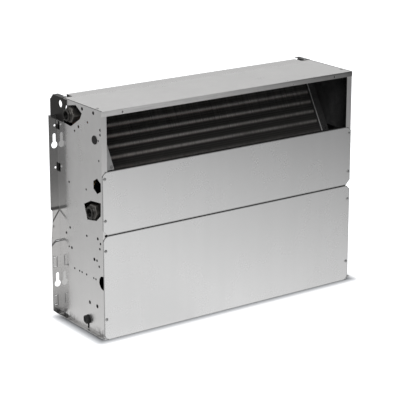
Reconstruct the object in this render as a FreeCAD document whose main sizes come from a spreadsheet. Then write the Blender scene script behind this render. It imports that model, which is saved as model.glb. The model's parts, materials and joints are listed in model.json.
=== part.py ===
"""Fan coil unit: a folded sheet-metal case with a tilted water coil above two centrifugal fans.

+X runs to the right along the case, +Y from the front towards the wall and +Z up.
The origin is on the floor plane, under the middle of the overall box.
"""
import FreeCAD, Part
import math
import os
import Sketcher
from FreeCAD import Placement, Rotation, Vector
from types import SimpleNamespace

# Driving dimensions, in millimetres, degrees or a count
SIZES = {
    # case
    "case_width": 710, "case_height": 530, "case_depth": 190, "hanger_reach": 28,
    "sheet": 1.2, "seat": 0.3, "jamb_width": 14, "jamb_return": 9, "wall_flange": 23,
    "flange_low": 18, "flange_overlap": 13, "foot_flange": 8, "lip_drop": 12,
    "foot_lift": 6, "top_gap": 2.5, "top_tab": 16, "seam_notch": 16, "seam_notch_depth": 23,
    "notch_width": 26, "notch_depth": 28, "rear_notch": 40, "sill_drop": 137.5, "seam_height": 245.6,
    "seam_gap": 2.4, "seam_slot": 5, "seam_slot_height": 5, "upper_corner": 12, "lower_corner": 9,
    "panel_return": 10,
    # screws
    "screw_head": 2, "head_radius": 3.6, "shank_radius": 1.9, "shank_gap": 0.1, "shank_length": 6,
    "screw_inset": 6, "screw_under_sill": 15.5, "screw_from_seam": 35, "screw_from_floor": 49,
    "top_screw_inset": 9, "top_screw_front": 31, "top_screw_rear": 171, "lip_screw_inset": 55,
    # wall fixing
    "keyhole_inset": 9.5, "keyhole_drop": 113.5, "keyhole_low": 83.4, "keyhole_radius": 8,
    "keyslot_radius": 4, "keyslot_rise": 23, "flange_slit": 1, "split_low": 187,
    "split_middle": 262, "split_slope": 27, "split_fall": 9, "slant_slit": 1.4, "segment_inset": 4,
    "segment_foot": 4, "segment_head": 3, "segment_neck": 1, "flange_hole_inset": 8,
    "flange_hole_radius": 2.5,
    "fold_window": 20, "fold_window_depth": 10, "fold_window_drop": 2.3, "fold_window_pitch": 99,
    "knockout_low": 31, "knockout_high": 125, "knockout_height": 24, "knockout_width": 9,
    "knockout_inset": 10,
    "bracket_thick": 1.5, "bracket_ahead": 44, "bracket_height": 54.5, "bracket_corner": 12,
    "bracket_lip": 13, "hanger_hole_radius": 8.5, "hanger_hole_ahead": 17, "hanger_hole_drop": 15.4,
    # coil
    "coil_face": 88, "coil_drop": 137.5, "coil_tilt": 30, "coil_left": 78, "coil_clear": 30,
    "coil_low": 35,
    "coil_high": 115, "coil_thick": 44, "coil_margin": 1.5, "tube_pitch": 25, "tube_first": 22.5,
    "row_front": 11, "row_pitch": 22, "tube_radius": 5, "tube_gap": 0.05,
    "coil_flange": 20, "coil_screw_low": 16, "coil_screw_edge": 12, "filler_screw": 6, "foam_strip": 2,
    "tube_stub": 4, "header_radius": 9, "front_header_inset": 56, "rear_header_inset": 36,
    "header_short": 5, "header_extra": 7, "pipe_bend": 9,
    "upper_union_set": 52, "upper_union_rise": 102.5, "lower_union_set": 41,
    "lower_union_fall": 101.5, "union_bore": 8.3, "union_collar": 12, "union_nose": 7,
    "union_flats": 34, "union_length": 24, "upper_window": 36, "upper_window_ahead": 18,
    "upper_window_rise": 2, "lower_window": 33, "lower_window_ahead": 3, "lower_window_rise": 5,
    "pipe_drop": 11, "pipe_radius": 7, "valve_radius": 6, "valve_length": 12, "valve_screw": 3,
    "running_gap": 0.05,
    # condensate tray
    "tray_front": 52, "tray_back": 116, "tray_fall": 74.5, "tray_rim": 28, "tray_left": 66,
    "tray_right": 700, "spigot_radius": 8, "spigot_wall": 2, "spigot_drop": 20, "spigot_inset": 14,
    # fans
    "deck_top": 270, "deck_drop": 12, "fan_depth": 84, "fan_height": 140, "fan_centre": 379,
    "fan_spread": 165, "scroll_width": 170, "scroll_wall": 1.5, "scroll_step": 9, "scroll_start": 70,
    "outlet_depth": 26, "tongue_rise": 61, "eye_radius": 48, "eye_collar": 5,
    "impeller_width": 150, "blade_root": 50, "blade_curve": 9.25, "blade_thick": 1.2,
    "impeller_radius": 61, "blade_count": 30, "ring_width": 3, "hub_radius": 14, "hub_length": 24,
    "shaft_radius": 6, "motor_radius": 46, "motor_length": 90, "motor_boss": 15, "boss_length": 12,
    "motor_shoulder": 39, "motor_chamfer": 8, "ring_set": 1,
    "cradle_thick": 2, "cradle_width": 56, "cradle_foot": 28, "cradle_shoulder": 11.2,
    "ring_radius": 23, "ring_length": 8,
    "capacitor_radius": 15, "capacitor_length": 60, "clip_thick": 1.2, "clip_width": 12,
    # base, filter and linings
    "rail_height": 30, "rail_depth": 38, "filter_low": 8, "filter_thick": 10, "filter_border": 12,
    "filter_inset": 25, "guide_rise": 3, "mesh_thick": 4, "foam": 5,
    # rubber and electrical parts
    "grommet_depth": 29.5, "grommet_drop": 69, "spare_depth": 22, "spare_fall": 35.5,
    "spare_reach": 18, "grommet_hole": 8, "bush_depth": 4,
    "bush_height": 135, "bush_radius": 16, "plug_cap": 2, "plug_barb": 1.5, "plug_edge": 1,
    "strap_half": 1.6, "strap_length": 22, "bung_depth": 69, "bung_height": 31, "bung_radius": 10.5,
    "box_reach": 21, "box_front": 40, "box_length": 110, "box_low": 300, "box_height": 100,
    "box_wall": 2, "gland_radius": 8, "box_post": 3, "strip_inset": 10, "strip_height": 12,
    "gland_nut": 8, "gland_neck": 2, "cable_notch": 14,
}
TUBES_PER_ROW = 6
STRIP_WAYS = 6

doc = FreeCAD.newDocument("fan_coil_unit")
sheet = doc.addObject("Spreadsheet::Sheet", "Sizes")


class Size:
    """A number that also knows the sheet expression it comes from."""

    def __init__(self, text, value):
        self.text = text
        self.value = float(value)

    def _join(self, other, sign, value):
        return Size("(" + self.text + sign + as_size(other).text + ")", value)

    def __add__(self, other):
        return self._join(other, " + ", self.value + as_size(other).value)

    def __sub__(self, other):
        return self._join(other, " - ", self.value - as_size(other).value)

    def __mul__(self, other):
        return self._join(other, " * ", self.value * as_size(other).value)

    def __truediv__(self, other):
        return self._join(other, " / ", self.value / as_size(other).value)

    def __radd__(self, other):
        return as_size(other) + self

    def __rsub__(self, other):
        return as_size(other) - self

    def __rmul__(self, other):
        return as_size(other) * self

    def __neg__(self):
        return Size("(-" + self.text + ")", -self.value)


def as_size(number):
    """A plain number as a Size."""
    return number if isinstance(number, Size) else Size("(" + format(number, ".6f") + ")", number)


def cosine(angle):
    """Cosine of an angle in degrees."""
    angle = as_size(angle)
    return Size("cos(" + angle.text + ")", math.cos(math.radians(angle.value)))


def sine(angle):
    """Sine of an angle in degrees."""
    angle = as_size(angle)
    return Size("sin(" + angle.text + ")", math.sin(math.radians(angle.value)))


for number, (name, value) in enumerate(SIZES.items(), start=1):
    sheet.set("A" + str(number), name)
    sheet.set("B" + str(number), str(value))
    sheet.setAlias("B" + str(number), name)
doc.recompute()
d = SimpleNamespace(**{name: Size("Sizes." + name, sheet.get(name)) for name in SIZES})

# Datum planes of the case
LEFT = -1
RIGHT = 1
front = d.screw_head / 2 - (d.case_depth + d.hanger_reach) / 2
back = front + d.case_depth
roof = d.case_height
under_roof = roof - d.sheet
sill = roof - d.sill_drop
coil_level = roof - d.coil_drop
bracket_low = under_roof - d.bracket_height
hanger_height = roof - d.hanger_hole_drop
jamb_face = front + d.sheet
inner_left = -d.case_width / 2 + d.sheet + d.seat
inner_right = d.case_width / 2 - d.sheet - d.seat
inner_front = jamb_face + d.sheet + d.seat
inner_back = back - d.sheet - d.seat


def across(inset):
    """X of a plane at this distance from the case's left outer face."""
    return inset - d.case_width / 2


def deep(depth):
    """Y of a plane at this distance behind the front face."""
    return front + depth


def from_side(side, inset):
    """X of a plane at this distance inside the outer face of one side."""
    return side * (d.case_width / 2 - inset)


def ordered(one, other):
    """Two planes, the lower first."""
    one = as_size(one)
    other = as_size(other)
    return (one, other) if one.value < other.value else (other, one)


def circle(u, v, radius):
    """A round loop."""
    return ("circle", as_size(u), as_size(v), as_size(radius))


def arc(u, v, radius):
    """An anticlockwise arc about a centre, from the corner it stands after to the next corner."""
    return (as_size(u), as_size(v), as_size(radius))


def outline(*corners):
    """A closed loop of corners (u, v), or (u, v, arc) where an arc leaves the corner."""
    return ("outline", corners)


def rectangle(u_low, v_low, u_high, v_high):
    """A rectangle between two corners."""
    return outline((u_low, v_low), (u_high, v_low), (u_high, v_high), (u_low, v_high))


def hexagon(u, v, flats):
    """A hexagon with this distance across its flats, corners up and down."""
    reach = flats / 2 / cosine(30)
    turns = [90 + 60 * step for step in range(6)]
    return outline(*[(u + reach * cosine(turn), v + reach * sine(turn)) for turn in turns])


def polar(u, v, reach, corners):
    """A loop whose corners are given as (angle, share of the reach) about a centre."""
    return outline(*[(u + reach * share * cosine(turn), v + reach * share * sine(turn))
                     for turn, share in corners])


class Piece:
    """One sub-part: pads add stock and pockets take it away, each from a sketch on an origin plane."""

    NORMALS = {"XY": 1, "XZ": -1, "YZ": 1}

    def __init__(self, label):
        self.body = doc.addObject("PartDesign::Body", label)
        self.body.Label = label
        self.body.AllowCompound = True
        self.planes = {feature.Role: feature for feature in self.body.Origin.OriginFeatures}

    def sketch(self, plane, level, loops):
        """A fully constrained sketch whose loops are bound to the sheet."""
        made = self.body.newObject("Sketcher::SketchObject", self.body.Label + "_sketch")
        made.AttachmentSupport = [(self.planes[plane + "_Plane"], "")]
        made.MapMode = "FlatFace"
        made.setExpression("AttachmentOffset.Base.z", (level * self.NORMALS[plane]).text)
        for loop in loops:
            if loop[0] == "circle":
                self.draw_circle(made, *loop[1:])
            else:
                self.draw_outline(made, loop[1])
        return made

    @staticmethod
    def hold(made, kind, geometry, point, size):
        """A horizontal or vertical distance from the sketch's origin, bound to the sheet."""
        index = made.addConstraint(Sketcher.Constraint(kind, -1, 1, geometry, point, size.value))
        made.setExpression("Constraints[" + str(index) + "]", size.text)

    @staticmethod
    def hold_radius(made, geometry, size):
        """A radius bound to the sheet."""
        index = made.addConstraint(Sketcher.Constraint("Radius", geometry, size.value))
        made.setExpression("Constraints[" + str(index) + "]", size.text)

    def draw_circle(self, made, u, v, radius):
        """A circle held by its centre and radius."""
        centre = Vector(u.value, v.value, 0)
        geometry = made.addGeometry(Part.Circle(centre, Vector(0, 0, 1), radius.value), False)
        self.hold(made, "DistanceX", geometry, 3, u)
        self.hold(made, "DistanceY", geometry, 3, v)
        self.hold_radius(made, geometry, radius)

    def draw_outline(self, made, corners):
        """Lines and arcs held by their corners, and each arc by its radius too."""
        places = [(as_size(corner[0]), as_size(corner[1])) for corner in corners]
        bends = [corner[2] if len(corner) == 3 else None for corner in corners]
        total = len(places)
        drawn = []
        for index in range(total):
            start = Vector(places[index][0].value, places[index][1].value, 0)
            stop = Vector(places[(index + 1) % total][0].value, places[(index + 1) % total][1].value, 0)
            if bends[index] is None:
                drawn.append(made.addGeometry(Part.LineSegment(start, stop), False))
            else:
                u, v, radius = bends[index]
                centre = Vector(u.value, v.value, 0)
                turns = [math.atan2((end - centre).y, (end - centre).x) for end in (start, stop)]
                whole = Part.Circle(centre, Vector(0, 0, 1), radius.value)
                drawn.append(made.addGeometry(Part.ArcOfCircle(whole, turns[0], turns[1]), False))
        for index in range(total):
            after = drawn[(index + 1) % total]
            made.addConstraint(Sketcher.Constraint("Coincident", drawn[index], 2, after, 1))
        for index in range(total):
            self.hold(made, "DistanceX", drawn[index], 1, places[index][0])
            self.hold(made, "DistanceY", drawn[index], 1, places[index][1])
            if bends[index] is not None:
                self.hold_radius(made, drawn[index], bends[index][2])

    def extrude(self, kind, plane, low, high, loops):
        """A pad or pocket between two planes along the sketch plane's own axis."""
        low, high = ordered(low, high)
        feature = self.body.newObject("PartDesign::" + kind, self.body.Label + "_" + kind.lower())
        feature.Profile = self.sketch(plane, low, loops)
        feature.setExpression("Length", (high - low).text)
        outwards = self.NORMALS[plane] > 0
        feature.Reversed = not outwards if kind == "Pad" else outwards
        return feature

    def pad(self, plane, low, high, *loops):
        """Stock between two planes."""
        return self.extrude("Pad", plane, low, high, loops)

    def pocket(self, plane, low, high, *loops):
        """A cut between two planes."""
        return self.extrude("Pocket", plane, low, high, loops)

    def turn_profile(self, corners, plane="XY"):
        """A full turn of a profile about X, with the profile given as (x, radius) corners."""
        feature = self.body.newObject("PartDesign::Revolution", self.body.Label + "_turned")
        feature.Profile = self.sketch(plane, as_size(0), [outline(*corners)])
        feature.ReferenceAxis = (self.planes["X_Axis"], [""])
        feature.Angle = 360
        return feature

    def polar_copies(self, feature, count):
        """Copies of a feature about X."""
        pattern = self.body.newObject("PartDesign::PolarPattern", self.body.Label + "_pattern")
        pattern.Originals = [feature]
        pattern.Axis = (self.planes["X_Axis"], [""])
        pattern.Angle = 360
        pattern.setExpression("Occurrences", count.text)
        self.body.Tip = pattern
        return pattern

    def place(self, x=0, y=0, z=0):
        """The body's origin, bound to the sheet."""
        for axis, size in (("x", x), ("y", y), ("z", z)):
            self.body.setExpression("Placement.Base." + axis, as_size(size).text)
        return self

    def lean(self):
        """The coil's own frame: Y into the fins and Z up their slope."""
        self.body.Placement = Placement(Vector(0, 0, 0), Rotation(Vector(1, 0, 0), -d.coil_tilt.value))
        self.body.setExpression("Placement.Rotation.Angle", (-d.coil_tilt).text)
        return self.place(0, deep(d.coil_face), coil_level)


def coil_point(depth, rise):
    """Y and Z of a point given in the coil's own frame."""
    y = deep(d.coil_face) + rise * sine(d.coil_tilt) + depth * cosine(d.coil_tilt)
    z = coil_level + rise * cosine(d.coil_tilt) - depth * sine(d.coil_tilt)
    return y, z


def screws(label, plane, outer, inner, places, head=1):
    """Round-headed screws: a head outside one plane and a shank through to another."""
    piece = Piece(label)
    away = outer + head * d.screw_head
    piece.pad(plane, outer, away, *[circle(u, v, d.head_radius) for u, v in places])
    piece.pad(plane, inner, outer, *[circle(u, v, d.shank_radius) for u, v in places])
    return piece


# Places that several pieces share
screw_hole = d.shank_radius + d.shank_gap
upper_screws = [(from_side(side, d.screw_inset), height) for side in (LEFT, RIGHT)
                for height in (d.seam_height + d.screw_from_seam, sill - d.screw_under_sill)]
lower_screws = [(from_side(side, d.screw_inset), height) for side in (LEFT, RIGHT)
                for height in (d.screw_from_floor, d.seam_height - d.screw_from_seam)]
coil_end = from_side(RIGHT, d.coil_clear)
coil_screws = [(x, rise) for x, reach in ((across(d.coil_left - d.filler_screw), d.coil_high / 2),
                                          (coil_end + d.coil_flange / 2, d.coil_high))
               for rise in (d.coil_screw_low - d.coil_low, reach - d.coil_screw_edge)]
upper_union = (deep(d.coil_face + d.upper_union_set), coil_level + d.upper_union_rise)
lower_union = (deep(d.coil_face - d.lower_union_set), coil_level - d.lower_union_fall)
keyhole_heights = (roof - d.keyhole_drop, d.keyhole_low)
hanger_hole = (back - d.hanger_hole_ahead, hanger_height)
UPPER_WINDOW = [(118, 0.86), (162, 1.17), (182, 0.89), (287, 0.76), (329, 1.3), (31, 0.94)]
LOWER_WINDOW = [(11, 1.08), (74, 0.66), (145, 1.33), (188, 1.07), (230, 0.8), (309, 1.06)]
SHUT_WINDOW = [(90 + 60 * step, 1) for step in range(6)]


def upper_window_loop():
    """The opening round the upper union."""
    return polar(upper_union[0] - d.upper_window_ahead, upper_union[1] + d.upper_window_rise,
                 d.upper_window, UPPER_WINDOW)


def lower_window_loop():
    """The opening round the lower union."""
    return polar(lower_union[0] - d.lower_window_ahead, lower_union[1] + d.lower_window_rise,
                 d.lower_window, LOWER_WINDOW)


def keyhole_rounds(side):
    """The round parts of the two keyholes in one wall flange: bulbs and slot tops."""
    x = from_side(side, -d.keyhole_inset)
    bulbs = [circle(x, height, d.keyhole_radius) for height in keyhole_heights]
    tops = [circle(x, height + d.keyslot_rise, d.keyslot_radius) for height in keyhole_heights]
    return bulbs + tops


def keyhole_slots(side):
    """The straight parts of the two keyholes in one wall flange."""
    low, high = ordered(from_side(side, -d.keyhole_inset - d.keyslot_radius),
                        from_side(side, -d.keyhole_inset + d.keyslot_radius))
    return [rectangle(low, height, high, height + d.keyslot_rise)
            for height in keyhole_heights]


# Small holes of the side webs as (depth, height from the floor, radius)
LEFT_LOW_HOLES = [
    (143, 230, 2.5), (160, 213, 2.5), (70, 229.5, 2.5), (23, 235, 3), (12, 226, 2.5), (15, 213, 2.5),
    (149, 183, 2), (137, 183, 3), (39, 182.5, 3.5), (28, 182.5, 2.5), (19, 170.6, 2.5), (156, 136.5, 2),
    (126, 136.5, 2), (104.5, 136.5, 2), (94, 136.5, 2), (74, 136.5, 2), (43, 136.5, 2),
    (34, 136.5, 2), (62, 73.3, 4), (30, 73.3, 4),
]
RIGHT_LOW_HOLES = [(143, 230, 2.5), (70, 229.5, 2.5), (39, 182.5, 3.5), (126, 136.5, 2), (62, 73.3, 4)]
# and as (depth, drop from the roof, radius)
LEFT_HIGH_HOLES = [(58, 35, 2.2), (97, 53, 3), (114, 66, 2.2), (6, 42, 2.5), (6, 53, 2.5), (13, 113, 2),
                   (14, 68, 1.8), (143, 191.5, 2.2), (69, 191.5, 2), (80, 9, 3.5), (33, 9, 3.5)]
RIGHT_HIGH_HOLES = [(58, 35, 2.2), (6, 42, 2.5), (13, 113, 2)]


def side_panel(side, label, low_holes, high_holes):
    """One folded side: web, front jamb, wall flange with keyholes, and foot flange."""
    piece = Piece(label)
    outer = from_side(side, 0)
    inner = from_side(side, d.sheet)
    drilled = [circle(deep(depth), height, radius) for depth, height, radius in low_holes]
    drilled += [circle(deep(depth), roof - drop, radius) for depth, drop, radius in high_holes]
    foot_level = as_size(d.foot_lift)
    notch = back - d.notch_depth
    piece.pad("YZ", outer, inner,
              outline((jamb_face, foot_level), (back, foot_level), (back, under_roof), (notch, under_roof),
                      (notch, roof), (jamb_face, roof)), *drilled)
    tab = ordered(inner, from_side(side, d.top_tab))
    tab_middle = deep(d.top_screw_front)
    piece.pad("XY", under_roof - d.sheet, under_roof,
              rectangle(tab[0], tab_middle - d.top_tab / 2, tab[1], tab_middle + d.top_tab / 2),
              circle(from_side(side, d.top_screw_inset), tab_middle, screw_hole))
    jamb = ordered(outer, from_side(side, d.jamb_width))
    heights = [height for x, height in upper_screws + lower_screws if x.value * side > 0]
    piece.pad("XZ", jamb_face, jamb_face + d.sheet,
              rectangle(jamb[0], foot_level, jamb[1], under_roof),
              *[circle(from_side(side, d.screw_inset), height, screw_hole) for height in heights])
    edge = ordered(from_side(side, d.jamb_width - d.sheet), from_side(side, d.jamb_width))
    piece.pad("YZ", edge[0], edge[1],
              rectangle(jamb_face, sill + d.seat, jamb_face + d.jamb_return, under_roof))
    fold, foot_edge, tip = [from_side(side, -inset) for inset in (0, d.foot_flange, d.wall_flange)]
    low, shelf, top = d.flange_low, bracket_low - d.seat, bracket_low + d.flange_overlap
    beside = from_side(side, -d.bracket_thick - d.seat)
    corners = [(fold, foot_level), (foot_edge, foot_level), (tip, low), (tip, top), (beside, top),
               (beside, shelf), (fold, shelf)]
    piece.pad("XZ", back - d.sheet, back, outline(*corners if side > 0 else corners[::-1]))
    foot = ordered(outer, from_side(side, -d.foot_flange))
    piece.pad("XY", foot_level, foot_level + d.sheet, rectangle(foot[0], jamb_face, foot[1], back))
    piece.pocket("XZ", back - d.sheet, back, *keyhole_rounds(side))
    piece.pocket("XZ", back - d.sheet, back, *keyhole_slots(side))
    split_flange(piece, side)
    return piece


def split_flange(piece, side):
    """The slits and steps that part the wall flange into three segments."""
    fold = from_side(side, 0)
    tip = from_side(side, -d.wall_flange)
    beyond = from_side(side, -d.wall_flange - d.sheet)
    step = from_side(side, -d.wall_flange + d.segment_inset)
    near = from_side(side, -d.wall_flange / 2)
    slit = d.flange_slit
    low = d.split_low
    high = d.split_middle
    fall = low - d.split_fall
    steps = [
        [(fold, low), (near, low), (beyond, fall), (beyond, fall + slit), (near, low + slit),
         (fold, low + slit)],
        [(fold, high), (step, high - d.split_slope), (step, high - d.split_slope + d.slant_slit),
         (fold, high + d.slant_slit)],
        [(step, high - d.split_slope), (tip, low + d.segment_foot), (beyond, low + d.segment_foot),
         (beyond, high + d.segment_head), (tip, high + d.segment_head), (step, high - d.segment_neck)],
    ]
    far = from_side(side, -d.knockout_inset - d.knockout_width)
    middle = from_side(side, slit - d.knockout_inset - d.knockout_width)
    close = from_side(side, -d.knockout_inset)
    for bottom in (d.knockout_low, d.knockout_high):
        crown = bottom + d.knockout_height
        steps.append([(far, bottom), (close, bottom), (close, bottom + slit), (middle, bottom + slit),
                      (middle, crown - slit), (close, crown - slit), (close, crown), (far, crown)])
    for corners in steps:
        piece.pocket("XZ", back - d.sheet, back, outline(*corners))
    first = bracket_low - d.fold_window_drop - d.fold_window
    for bottom in (first, first - d.fold_window_pitch):
        crown = bottom + d.fold_window
        piece.pocket("YZ", fold, from_side(side, d.sheet),
                     rectangle(back - d.fold_window_depth, bottom, back - d.sheet, crown))
        beside = from_side(side, -d.flange_hole_inset)
        piece.pocket("XZ", back - d.sheet, back,
                     circle(beside, (bottom + crown) / 2, d.flange_hole_radius))


def hanger_bracket(side, label):
    """Dark bracket on the outside of a side panel, reaching behind the unit."""
    piece = Piece(label)
    low, high = bracket_low, under_roof
    start, stop = back - d.bracket_ahead, back + d.hanger_reach
    corner = d.bracket_corner
    piece.pad("YZ", from_side(side, 0), from_side(side, -d.bracket_thick),
              outline((start, low), (stop, low), (stop, high - corner), (stop - corner, high),
                      (start, high)),
              circle(*hanger_hole, d.hanger_hole_radius))
    lip = ordered(from_side(side, -d.bracket_thick), from_side(side, d.bracket_lip))
    piece.pad("XY", high, roof,
              rectangle(lip[0], back - d.notch_depth + d.seat, lip[1], stop - corner),
              circle(from_side(side, d.top_screw_inset), deep(d.top_screw_rear), screw_hole))
    return piece


def case_pieces():
    """Side panels, top, front and rear panels, brackets, and the screws that hold them."""
    left = side_panel(LEFT, "side_panel_left", LEFT_LOW_HOLES, LEFT_HIGH_HOLES)
    outer, inner = from_side(LEFT, 0), from_side(LEFT, d.sheet)
    left.pocket("YZ", outer, inner, upper_window_loop(), lower_window_loop(),
                polar(deep(d.spare_depth), sill - d.spare_fall, d.spare_reach, SHUT_WINDOW),
                circle(deep(d.grommet_depth), roof - d.grommet_drop, d.grommet_hole),
                circle(deep(d.bung_depth), d.bung_height, d.grommet_hole))
    left.pocket("YZ", outer, inner, circle(*hanger_hole, d.hanger_hole_radius))
    left.pocket("YZ", outer, inner, circle(deep(d.bush_depth), d.bush_height, d.bush_radius))
    left.pocket("XZ", jamb_face, jamb_face + d.sheet,
                rectangle(across(d.seam_slot), d.seam_height - d.seam_slot_height / 2,
                          across(d.jamb_width), d.seam_height + d.seam_slot_height / 2))
    right = side_panel(RIGHT, "side_panel_right", RIGHT_LOW_HOLES, RIGHT_HIGH_HOLES)
    half, corner = d.seam_gap / 2, d.seam_gap / 2 + d.upper_corner
    right.pocket("XZ", jamb_face, jamb_face + d.sheet,
                 outline((from_side(RIGHT, 0), d.seam_height - corner),
                         (from_side(RIGHT, 0), d.seam_height + corner),
                         (from_side(RIGHT, d.seam_notch), d.seam_height + half),
                         (from_side(RIGHT, d.seam_notch), d.seam_height - half)))
    right.pocket("YZ", from_side(RIGHT, 0), from_side(RIGHT, d.sheet),
                 outline((jamb_face, d.seam_height - corner),
                         (deep(d.seam_notch_depth), d.seam_height - half),
                         (deep(d.seam_notch_depth), d.seam_height + half),
                         (jamb_face, d.seam_height + corner)))
    gland_y = deep(d.box_front) + d.box_length / 2
    right.pocket("XY", d.foot_lift, d.foot_lift + d.sheet,
                 rectangle(from_side(RIGHT, -d.sheet), gland_y - d.cable_notch,
                           from_side(RIGHT, -d.foot_flange), gland_y + d.cable_notch))
    right.pocket("YZ", from_side(RIGHT, 0), from_side(RIGHT, d.sheet),
                 circle(*hanger_hole, d.hanger_hole_radius),
                 circle(deep(d.box_front + d.box_length / 2), d.box_low + d.box_height / 2,
                        d.gland_radius))
    hanger_bracket(LEFT, "hanger_bracket_left").pocket(
        "YZ", from_side(LEFT, 0), from_side(LEFT, -d.bracket_thick), upper_window_loop())
    hanger_bracket(RIGHT, "hanger_bracket_right")
    top_panel()
    front_panels()
    rear_panel()
    screws("upper_panel_screws", "XZ", front, front + d.shank_length, upper_screws, head=-1)
    screws("lower_panel_screws", "XZ", front, front + d.shank_length, lower_screws, head=-1)


def top_screw_places():
    """Where the top panel is screwed to the side panels, near its front corners."""
    return [(from_side(side, d.top_screw_inset), deep(d.top_screw_front)) for side in (LEFT, RIGHT)]


def lip_screw_places():
    """Where the hanger brackets' lips are screwed down, near the rear corners."""
    return [(from_side(side, d.top_screw_inset), deep(d.top_screw_rear)) for side in (LEFT, RIGHT)]


def top_panel():
    """Flat top with a front lip, a rear lip and two notched rear corners."""
    piece = Piece("top_panel")
    notch = back - d.notch_depth
    far_left, far_right = from_side(LEFT, 0), from_side(RIGHT, 0)
    in_left, in_right = from_side(LEFT, d.notch_width), from_side(RIGHT, d.notch_width)
    near_left, near_right = from_side(LEFT, d.sheet + d.top_gap), from_side(RIGHT, d.sheet + d.top_gap)
    piece.pad("XY", under_roof, roof,
              outline((near_left, front), (near_right, front), (near_right, notch), (in_right, notch),
                      (in_right, back), (in_left, back), (in_left, notch), (near_left, notch)),
              *[circle(x, y, screw_hole) for x, y in top_screw_places()])
    piece.pad("XZ", front, front + d.sheet,
              rectangle(far_left, roof - d.lip_drop, far_right, roof),
              *[circle(from_side(side, d.lip_screw_inset), roof - d.lip_drop / 2 - d.sheet, screw_hole)
                for side in (LEFT, RIGHT)])
    piece.pad("XZ", back - d.sheet, back,
              rectangle(in_left, roof - d.lip_drop, in_right, under_roof))
    screws("top_screws", "XY", roof, under_roof - d.sheet - d.seat, top_screw_places() + lip_screw_places())


def front_panels():
    """The two flat front panels, with cut corners and inward returns."""
    half = d.seam_gap / 2
    far_left, far_right = from_side(LEFT, 0), from_side(RIGHT, 0)
    near_left, near_right = from_side(LEFT, d.jamb_width + d.seat), from_side(RIGHT, d.jamb_width + d.seat)

    def plate(label, low, high, low_cut, high_cut, places, returns):
        piece = Piece(label)
        piece.pad("XZ", front, front + d.sheet,
                  outline((far_left + low_cut, low), (far_right - low_cut, low),
                          (far_right, low + low_cut), (far_right, high - high_cut),
                          (far_right - high_cut, high), (far_left + high_cut, high),
                          (far_left, high - high_cut), (far_left, low + low_cut)),
                  *[circle(x, z, screw_hole) for x, z in places])
        for level in returns:
            piece.pad("XY", level, level + d.sheet,
                      rectangle(near_left, front, near_right, front + d.panel_return))

    upper_low = d.seam_height + half
    lower_high = d.seam_height - half
    plate("front_panel_upper", upper_low, sill, d.upper_corner, d.lower_corner, upper_screws,
          (upper_low, sill - d.sheet))
    plate("front_panel_lower", as_size(0), lower_high, d.lower_corner, d.lower_corner, lower_screws,
          (lower_high - d.sheet,))


def rear_panel():
    """Flat back between the side webs, under the top panel's rear lip, open at both top corners."""
    piece = Piece("rear_panel")
    low, step, high = d.seat, roof - d.rear_notch, roof - d.lip_drop - d.seat
    in_left, in_right = from_side(LEFT, d.notch_width), from_side(RIGHT, d.notch_width)
    piece.pad("XZ", back - d.sheet, back,
              outline((inner_left, low), (inner_right, low), (inner_right, step), (in_right, step),
                      (in_right, high), (in_left, high), (in_left, step), (inner_left, step)))


def coil_pieces():
    """Fin pack, tubes, return bends, tube sheets, headers, unions, pipes and valves."""
    left, right = across(d.coil_left), coil_end
    rises = [d.tube_pitch * step - d.tube_first for step in range(TUBES_PER_ROW)]
    rows = (d.row_front, d.row_front + d.row_pitch)
    bores = [circle(depth, rise, d.tube_radius + d.tube_gap) for depth in rows for rise in rises]
    fins = Piece("coil_fins").lean()
    fins.pad("YZ", left, right, rectangle(0, -d.coil_low, d.coil_thick, d.coil_high), *bores)
    pipes = Piece("coil_tubes").lean()
    for depth, inset in zip(rows, (d.front_header_inset, d.rear_header_inset)):
        header_face = across(inset + d.header_radius) + d.seat
        pipes.pad("YZ", header_face, right + d.tube_stub,
                  *[circle(depth, rise, d.tube_radius) for rise in rises])
    margin = d.coil_margin
    for label, low, high in (("tube_sheet_left", left - d.sheet - d.seat, left - d.seat),
                             ("tube_sheet_right", right + d.seat, right + d.seat + d.sheet)):
        plate = Piece(label).lean()
        plate.pad("YZ", low, high,
                  rectangle(-margin, -d.coil_low - margin, d.coil_thick + margin, d.coil_high + margin),
                  *bores)
        if label.endswith("left"):
            end, low_rise, high_rise = inner_left, -d.coil_low, d.coil_high / 2
        else:
            end, low_rise, high_rise = coil_end + d.coil_flange, -d.coil_low, d.coil_high
        edges = ordered(end, low if label.endswith("left") else high)
        places = [place for place in coil_screws if (place[0].value < 0) == label.endswith("left")]
        plate.pad("XZ", -margin, -margin + d.sheet, rectangle(edges[0], low_rise, edges[1], high_rise),
                  *[circle(x, rise, screw_hole) for x, rise in places])
    screws("coil_screws", "XZ", -margin, as_size(d.screw_head), coil_screws, head=-1).lean()
    strip = Piece("foam_strip").lean()
    strip.pad("XZ", -margin - d.foam_strip, -margin,
              rectangle(right + d.seat + d.sheet * 2, -d.coil_low, coil_end + d.coil_flange,
                        d.coil_high),
              *[circle(x, rise, d.head_radius + d.seat) for x, rise in coil_screws[2:]])
    return_bends(rises)
    headers()
    unions()


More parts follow.
